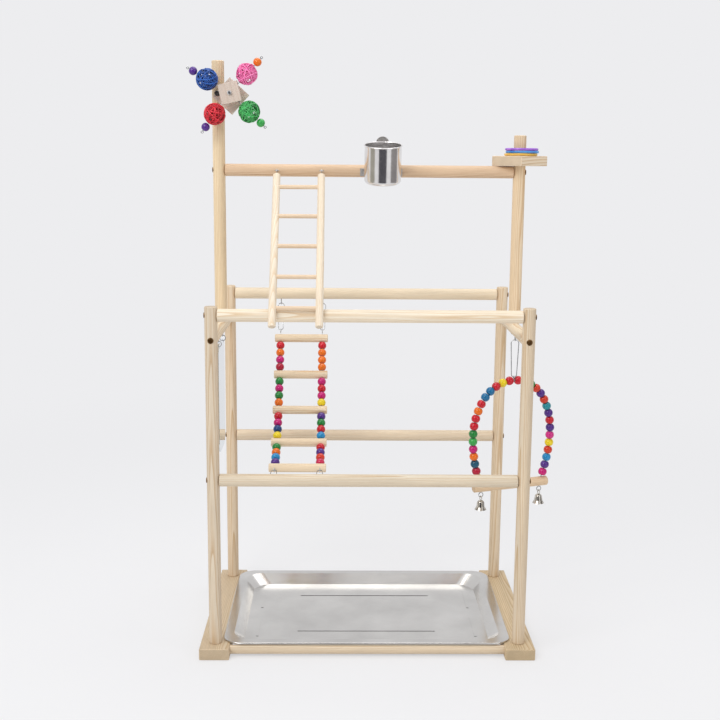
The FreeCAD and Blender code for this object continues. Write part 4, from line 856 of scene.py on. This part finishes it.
def bead_shape(diameter, length, bore):
    """A turned bead: a ball with flats round its hole, their edges softened by the paint."""
    radius, half, soft = diameter / 2, length / 2, PAINT_SOFTENING
    flat = math.sqrt(radius * radius - half * half)
    low_angle = math.asin((half - 2 * soft) / radius)
    outline = [(bore / 2, -half + 2 * soft), (bore / 2 + soft, -half), (flat - 3 * soft, -half)]
    outline.append((flat - soft / 2, -half + soft / 2))
    for n in range(BELLY_STEPS + 1):
        angle = -low_angle + 2 * low_angle * n / BELLY_STEPS
        outline.append((radius * math.cos(angle), radius * math.sin(angle)))
    outline += [(across, -height) for across, height in reversed(outline[:4])]
    return spun_shape("bead", outline, BEAD_SIDES)


ARM_BEAD, ARM_BEAD_LENGTH, ARM_BORE = 17.0 * MM, 16.0 * MM, 3.0 * MM
BALL_TO_BEAD = 0.3 * MM
hub = middle_of("pinwheel_hub")
# Angle of each arm from level, its ball's distance from the hub, and its bead's colour.
ARMS = (
    (47.0, 50.0, "orange"),
    (150.0, 51.4, "purple"),
    (234.0, 51.4, "purple"),
    (316.6, 53.0, "light green"),
)
rows = []
for angle, distance, colour in ARMS:
    along = Vector((math.cos(math.radians(angle)), 0.0, math.sin(math.radians(angle))))
    reach = distance * MM + BALL_RADIUS + BALL_TO_BEAD + ARM_BEAD / 2
    rows.append((hub + along * reach, along, 1.0, srgb(PAINTS[colour])))
arm_bead = bead_shape(ARM_BEAD, ARM_BEAD_LENGTH, ARM_BORE)
arm_beads = set_copies("arm_beads", rows, arm_bead, paint)
bpy.data.objects.remove(arm_bead)
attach(arm_beads, "pinwheel")
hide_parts("pinwheel_beads")

# ---------------------------------------------------------------- ring block and rings
# A planed pine block bored to sit over the right post, and three moulded plastic
# rings that lie on it round the post.
BLOCK_GRAIN = (0.766, 0.643, 0.0)
finish("ring_block", pine("Planed pine, block", "ring_block", BLOCK_GRAIN, "#EEDDC3", "#D2B188", seed=51))


def moulded(name, pale, dark):
    """Moulded polythene: soft gloss, slightly waxy, with faint flow marks."""
    material, tree, out = blank_material(name)
    where = add(tree, "ShaderNodeTexCoord")
    flow = add(
        tree, "ShaderNodeTexNoise", None, {"Vector": where.outputs["Object"], "Scale": 70.0, "Detail": 3.0}
    )
    skin_grain = add(
        tree, "ShaderNodeTexNoise", None, {"Vector": where.outputs["Object"], "Scale": 900.0, "Detail": 2.0}
    )
    colour = add(tree, "ShaderNodeValToRGB", None, {0: flow.outputs["Fac"]})
    colour.color_ramp.elements[0].position = 0.3
    colour.color_ramp.elements[0].color = srgb(dark)
    colour.color_ramp.elements[1].position = 0.65
    colour.color_ramp.elements[1].color = srgb(pale)
    rough = add(
        tree,
        "ShaderNodeMapRange",
        None,
        {"Value": skin_grain.outputs["Fac"], "From Min": 0.3, "From Max": 0.7, "To Min": 0.3, "To Max": 0.44},
    )
    bump = add(
        tree,
        "ShaderNodeBump",
        None,
        {"Height": skin_grain.outputs["Fac"], "Strength": 0.08, "Distance": 0.1 * MM},
    )
    skin = add(
        tree,
        "ShaderNodeBsdfPrincipled",
        None,
        {
            "Base Color": colour.outputs[0],
            "Roughness": rough.outputs[0],
            "IOR": 1.51,
            "Subsurface Weight": 0.15,
            "Subsurface Radius": (0.004, 0.004, 0.004),
            "Subsurface Scale": 1.0,
            "Normal": bump.outputs[0],
        },
    )
    tree.links.new(skin.outputs[0], out.inputs["Surface"])
    return material


for colour, pale, dark in (
    ("yellow", "#EFC55C", "#DCAA45"),
    ("blue", "#56A2E4", "#3C7FCC"),
    ("purple", "#B072DC", "#8B52C2"),
):
    finish("ring_" + colour, moulded("Moulded polythene, " + colour, pale, dark))

# ---------------------------------------------------------------- rigid ladder
# Two pine rails with five thin rungs glued into them, hung from the upper perch
# by two screw eyes.
LADDER_LEAN = (0.0, 0.475, 0.88)
finish(
    "ladder_rails",
    pine("Turned pine, rails", "ladder_rails", LADDER_LEAN, "#F3E6D1", "#E8D0AF", seed=64, ring_width=3.4),
)
finish(
    "ladder_rungs",
    pine("Turned pine, rungs", "ladder_rungs", ALONG_X, "#EDD8BD", "#D7B48D", seed=62, ring_width=1.8),
)
finish("ladder_eyes", zinc)

# ---------------------------------------------------------------- bead ladder
# Five pine rungs on two strings, with four painted beads on each string between
# rungs. The end rungs carry screw eyes, held by snap hooks to the perches.
finish("bead_ladder_hooks", zinc)
RUNG_RADIUS, RUNG_SKIN = 9.0 * MM, 0.15 * MM
RUNG_PALE, RUNG_DARK, RUNG_RINGS, FIRST_RUNG_SEED = "#EEDEC2", "#D8B58C", 2.1, 71
# The end rungs' eyes widen their boxes, so the wood's middles are given here in (Y, Z).
END_RUNG_MIDDLES = {0: (0.15001, 0.59463), 4: (-0.08951, 0.36219)}
rung_middles = []
for n in range(5):
    node = "bead_ladder_rung_%d" % (n + 1)
    name = "Turned pine, bead ladder rung %d" % (n + 1)
    wood = (node, ALONG_X, RUNG_PALE, RUNG_DARK, FIRST_RUNG_SEED + n, RUNG_RINGS)
    rung_middles.append(middle_of(node))
    if n not in END_RUNG_MIDDLES:
        finish(node, pine(name, *wood))
        continue
    # The wood and its two eyes are one solid, so the finish changes outside the round.
    rung_middles[n].yz = END_RUNG_MIDDLES[n]
    material, tree, out = blank_material(name)
    where = add(tree, "ShaderNodeTexCoord")
    clouds = add(
        tree, "ShaderNodeTexNoise", None, {"Vector": where.outputs["Object"], "Scale": 160.0, "Detail": 4.0}
    )
    wire_rough = add(
        tree,
        "ShaderNodeMapRange",
        None,
        {"Value": clouds.outputs["Fac"], "From Min": 0.3, "From Max": 0.7, "To Min": 0.34, "To Max": 0.18},
    )
    wire = add(
        tree,
        "ShaderNodeBsdfPrincipled",
        None,
        {"Base Color": srgb("#BFC0C1"), "Metallic": 1.0, "Roughness": wire_rough.outputs[0]},
    )
    from_middle = add(
        tree,
        "ShaderNodeVectorMath",
        {"operation": "SUBTRACT"},
        {0: where.outputs["Object"], 1: rung_middles[n]},
    )
    across = add(
        tree,
        "ShaderNodeVectorMath",
        {"operation": "MULTIPLY"},
        {0: from_middle.outputs[0], 1: (0.0, 1.0, 1.0)},
    )
    away = add(tree, "ShaderNodeVectorMath", {"operation": "LENGTH"}, {0: across.outputs[0]})
    outside = add(
        tree,
        "ShaderNodeMath",
        {"operation": "GREATER_THAN"},
        {0: away.outputs["Value"], 1: RUNG_RADIUS + RUNG_SKIN},
    )
    both = add(
        tree,
        "ShaderNodeMixShader",
        None,
        {0: outside.outputs[0], 1: pine_skin(tree, *wood), 2: wire.outputs[0]},
    )
    tree.links.new(both.outputs[0], out.inputs["Surface"])
    finish(node, material)

cotton, tree, out = blank_material("Twisted cotton string")
where = add(tree, "ShaderNodeTexCoord")
lint = add(
    tree, "ShaderNodeTexNoise", None, {"Vector": where.outputs["Object"], "Scale": 1800.0, "Detail": 3.0}
)
string_colour = add(tree, "ShaderNodeValToRGB", None, {0: lint.outputs["Fac"]})
string_colour.color_ramp.elements[0].color = srgb("#CFC7B6")
string_colour.color_ramp.elements[1].color = srgb("#F1EDE3")
string_bump = add(
    tree, "ShaderNodeBump", None, {"Height": lint.outputs["Fac"], "Strength": 0.5, "Distance": 0.2 * MM}
)
string_rough = add(
    tree,
    "ShaderNodeMapRange",
    None,
    {"Value": lint.outputs["Fac"], "From Min": 0.3, "From Max": 0.7, "To Min": 0.8, "To Max": 0.95},
)
string_skin = add(
    tree,
    "ShaderNodeBsdfPrincipled",
    None,
    {
        "Base Color": string_colour.outputs[0],
        "Roughness": string_rough.outputs[0],
        "Normal": string_bump.outputs[0],
    },
)
tree.links.new(string_skin.outputs[0], out.inputs["Surface"])


STRING_STRANDS, STRING_TWIST, STRING_STEP, STRING_SIDES = 3, 6.0 * MM, 0.7 * MM, 12


def twisted_string(verts, faces, start, finish_at, radius):
    """A three-strand string: its section has three lobes that turn along it."""
    length = (finish_at - start).length
    along = (finish_at - start) / length
    side = along.orthogonal().normalized()
    other = along.cross(side)
    rings, around = int(length / STRING_STEP), STRING_SIDES
    first = len(verts)
    for n in range(rings + 1):
        turn = 2 * math.pi * length * n / rings / STRING_TWIST
        for k in range(around):
            angle = 2 * math.pi * k / around
            lobe = radius * (0.86 + 0.14 * math.cos(STRING_STRANDS * angle - turn))
            spot = start + along * (length * n / rings)
            verts.append(spot + (side * math.cos(angle) + other * math.sin(angle)) * lobe)
    for n in range(rings):
        for k in range(around):
            here, ahead_of = first + n * around, first + (n + 1) * around
            after = (k + 1) % around
            faces.append((here + k, here + after, ahead_of + after, ahead_of + k))
    faces.append(tuple(first + k for k in reversed(range(around))))
    faces.append(tuple(first + rings * around + k for k in range(around)))


BEAD, BEAD_LENGTH, BEAD_BORE = 18.6 * MM, 15.2 * MM, 2.6 * MM
STRING_RADIUS, STRING_GAP = 1.0 * MM, 0.3 * MM
STRING_XS = (-0.2093, -0.1163)
# Each span's colours from the top down, on the left string and on the right one.
SPANS = (
    (("red", "orange", "magenta", "crimson"), ("red", "orange", "orange", "orange")),
    (("green", "magenta", "green", "orange"), ("magenta", "red", "magenta", "yellow")),
    (("red", "magenta", "dark blue", "yellow"), ("purple", "green", "red", "light blue")),
    (("green", "orange", "light blue", "purple"), ("red", "purple", "orange-red", "pink-red")),
)
ladder_bead = bead_shape(BEAD, BEAD_LENGTH, BEAD_BORE)
for n, span in enumerate(SPANS):
    start, end = rung_middles[n], rung_middles[n + 1]
    along = (end - start).normalized()
    pitch = ((end - start).length - 2 * RUNG_RADIUS) / len(span[0])
    rows, verts, faces = [], [], []
    for x, colours in zip(STRING_XS, span):
        for k, colour in enumerate(colours):
            spot = start + along * (RUNG_RADIUS + (k + 0.5) * pitch)
            rows.append((Vector((x, spot.y, spot.z)), along, 1.0, srgb(PAINTS[colour])))
        inset = along * (RUNG_RADIUS + STRING_GAP)
        ends = [Vector((x, spot.y, spot.z)) for spot in (start + inset, end - inset)]
        twisted_string(verts, faces, *ends, STRING_RADIUS)
    beads = set_copies("ladder_beads_%d" % (n + 1), rows, ladder_bead, paint)
    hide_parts("bead_ladder_beads_%d" % (n + 1))
    string = mesh_object("ladder_string_%d" % (n + 1), verts, faces, cotton)
    for piece in (beads, string):
        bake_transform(piece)

# ---------------------------------------------------------------- swing
# An arch of stout zinc plated wire strung with painted beads, its legs passed
# through a pine bar, with a pressed nickel bell hung from each end.
finish("swing_hook", zinc)
finish("swing_wire", zinc)
SWING_TURN = math.radians(20.0)
swing_across = Vector((math.cos(SWING_TURN), math.sin(SWING_TURN), 0.0))
finish("swing_bar", pine("Turned pine, swing bar", "swing_bar", swing_across, "#E6CEAD", "#CBA47A", seed=81))

# The arch's middle line hangs from its eye, which the swing hook holds. It has a tight
# crown, wider shoulders and legs that draw in a little towards the bar.
ARCH_PLACE = (0.2892, -0.020)
ARCH_RADII = (83.5 * MM, 147.0 * MM, 288.6 * MM)
ARCH_SHOULDER, ARCH_LEG = 60.0, 22.6
ARCH_PITCH, ARCH_FIRST_GAP = 16.4 * MM, 4.0 * MM
# From the left leg's foot, over the top, to the right leg's foot.
ARCH_COLOURS = (
    "yellow", "crimson", "dark teal", "orange", "magenta", "light green", "green", "red",
    "red", "orange", "red", "blue", "blue", "red", "yellow", "red",
    "red", "dark blue", "green", "orange-red", "purple", "orange-red", "teal", "purple",
    "red", "purple", "pink", "yellow", "orange-red", "light blue", "purple", "magenta",
)

top_radius, shoulder_radius, leg_radius = ARCH_RADII
inset = shoulder_radius - top_radius
shoulder_angle = math.radians(ARCH_SHOULDER)
shoulder_middle = (-inset * math.sin(shoulder_angle), -top_radius - inset * math.cos(shoulder_angle))
leg_middle = (shoulder_middle[0] + shoulder_radius - leg_radius, shoulder_middle[1])
ARCS = (
    ((0.0, -top_radius), top_radius, 0.0, shoulder_angle),
    (shoulder_middle, shoulder_radius, shoulder_angle, math.pi / 2),
    (leg_middle, leg_radius, math.pi / 2, math.pi / 2 + math.radians(ARCH_LEG)),
)


def arch_at(length, hand):
    """A point of half the arch and the way along it, a length down from its top."""
    for arc in ARCS:
        (across, height), radius, first, last = arc
        run = (last - first) * radius
        if length <= run or arc is ARCS[-1]:
            angle = first + length / radius
            spot = swing_across * hand * (across + radius * math.sin(angle))
            spot += Vector((0.0, 0.0, height + radius * math.cos(angle)))
            along = swing_across * hand * math.cos(angle) - Vector((0.0, 0.0, math.sin(angle)))
            return spot, along
        length -= run


rows = []
half = len(ARCH_COLOURS) // 2
for hand in (-1, 1):
    for n in range(half):
        spot, along = arch_at(ARCH_FIRST_GAP / 2 + (n + 0.5) * ARCH_PITCH, hand)
        colour = ARCH_COLOURS[half - 1 - n] if hand < 0 else ARCH_COLOURS[half + n]
        rows.append([spot, along, 1.0, srgb(PAINTS[colour])])
# The topmost bead ends where the CAD beads end.
highest = max(row[0].z + BEAD / 2 * math.hypot(row[1].x, row[1].y) for row in rows)
arch_top = Vector((*ARCH_PLACE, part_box("swing_beads")[1].z - highest))
rows = [[arch_top + spot, *rest] for spot, *rest in rows]
swing_beads = set_copies("arch_beads", rows, ladder_bead, paint)
bpy.data.objects.remove(ladder_bead)
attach(swing_beads, "swing")
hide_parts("swing_beads")

nickel = plated("Nickel plated sheet", "#D6D1C8", "#A9A49C", 0.14)
for hand in ("left", "right"):
    finish("bell_" + hand, nickel)
    finish("clapper_" + hand, nickel)

# ---------------------------------------------------------------- mirror
# A sheet of silvered acrylic with rounded corners, hung by two split rings. The
# silvering is nearly flawless, with the slight ripple that cast acrylic has.
silvered, tree, out = blank_material("Silvered acrylic")
where = add(tree, "ShaderNodeTexCoord")
ripple = add(
    tree, "ShaderNodeTexNoise", None, {"Vector": where.outputs["Object"], "Scale": 14.0, "Detail": 2.0}
)
dust = add(
    tree, "ShaderNodeTexNoise", None, {"Vector": where.outputs["Object"], "Scale": 240.0, "Detail": 5.0}
)
mirror_colour = add(tree, "ShaderNodeValToRGB", None, {0: dust.outputs["Fac"]})
mirror_colour.color_ramp.elements[0].color = srgb("#CBD2D6")
mirror_colour.color_ramp.elements[1].color = srgb("#E6EAEC")
mirror_rough = add(
    tree,
    "ShaderNodeMapRange",
    None,
    {"Value": dust.outputs["Fac"], "From Min": 0.35, "From Max": 0.7, "To Min": 0.02, "To Max": 0.08},
)
mirror_bump = add(
    tree, "ShaderNodeBump", None, {"Height": ripple.outputs["Fac"], "Strength": 0.1, "Distance": 0.4 * MM}
)
mirror_skin = add(
    tree,
    "ShaderNodeBsdfPrincipled",
    None,
    {
        "Base Color": mirror_colour.outputs[0],
        "Metallic": 1.0,
        "Roughness": mirror_rough.outputs[0],
        "Normal": mirror_bump.outputs[0],
    },
)
tree.links.new(mirror_skin.outputs[0], out.inputs["Surface"])
finish("mirror_panel", silvered)
finish("mirror_rings", zinc)
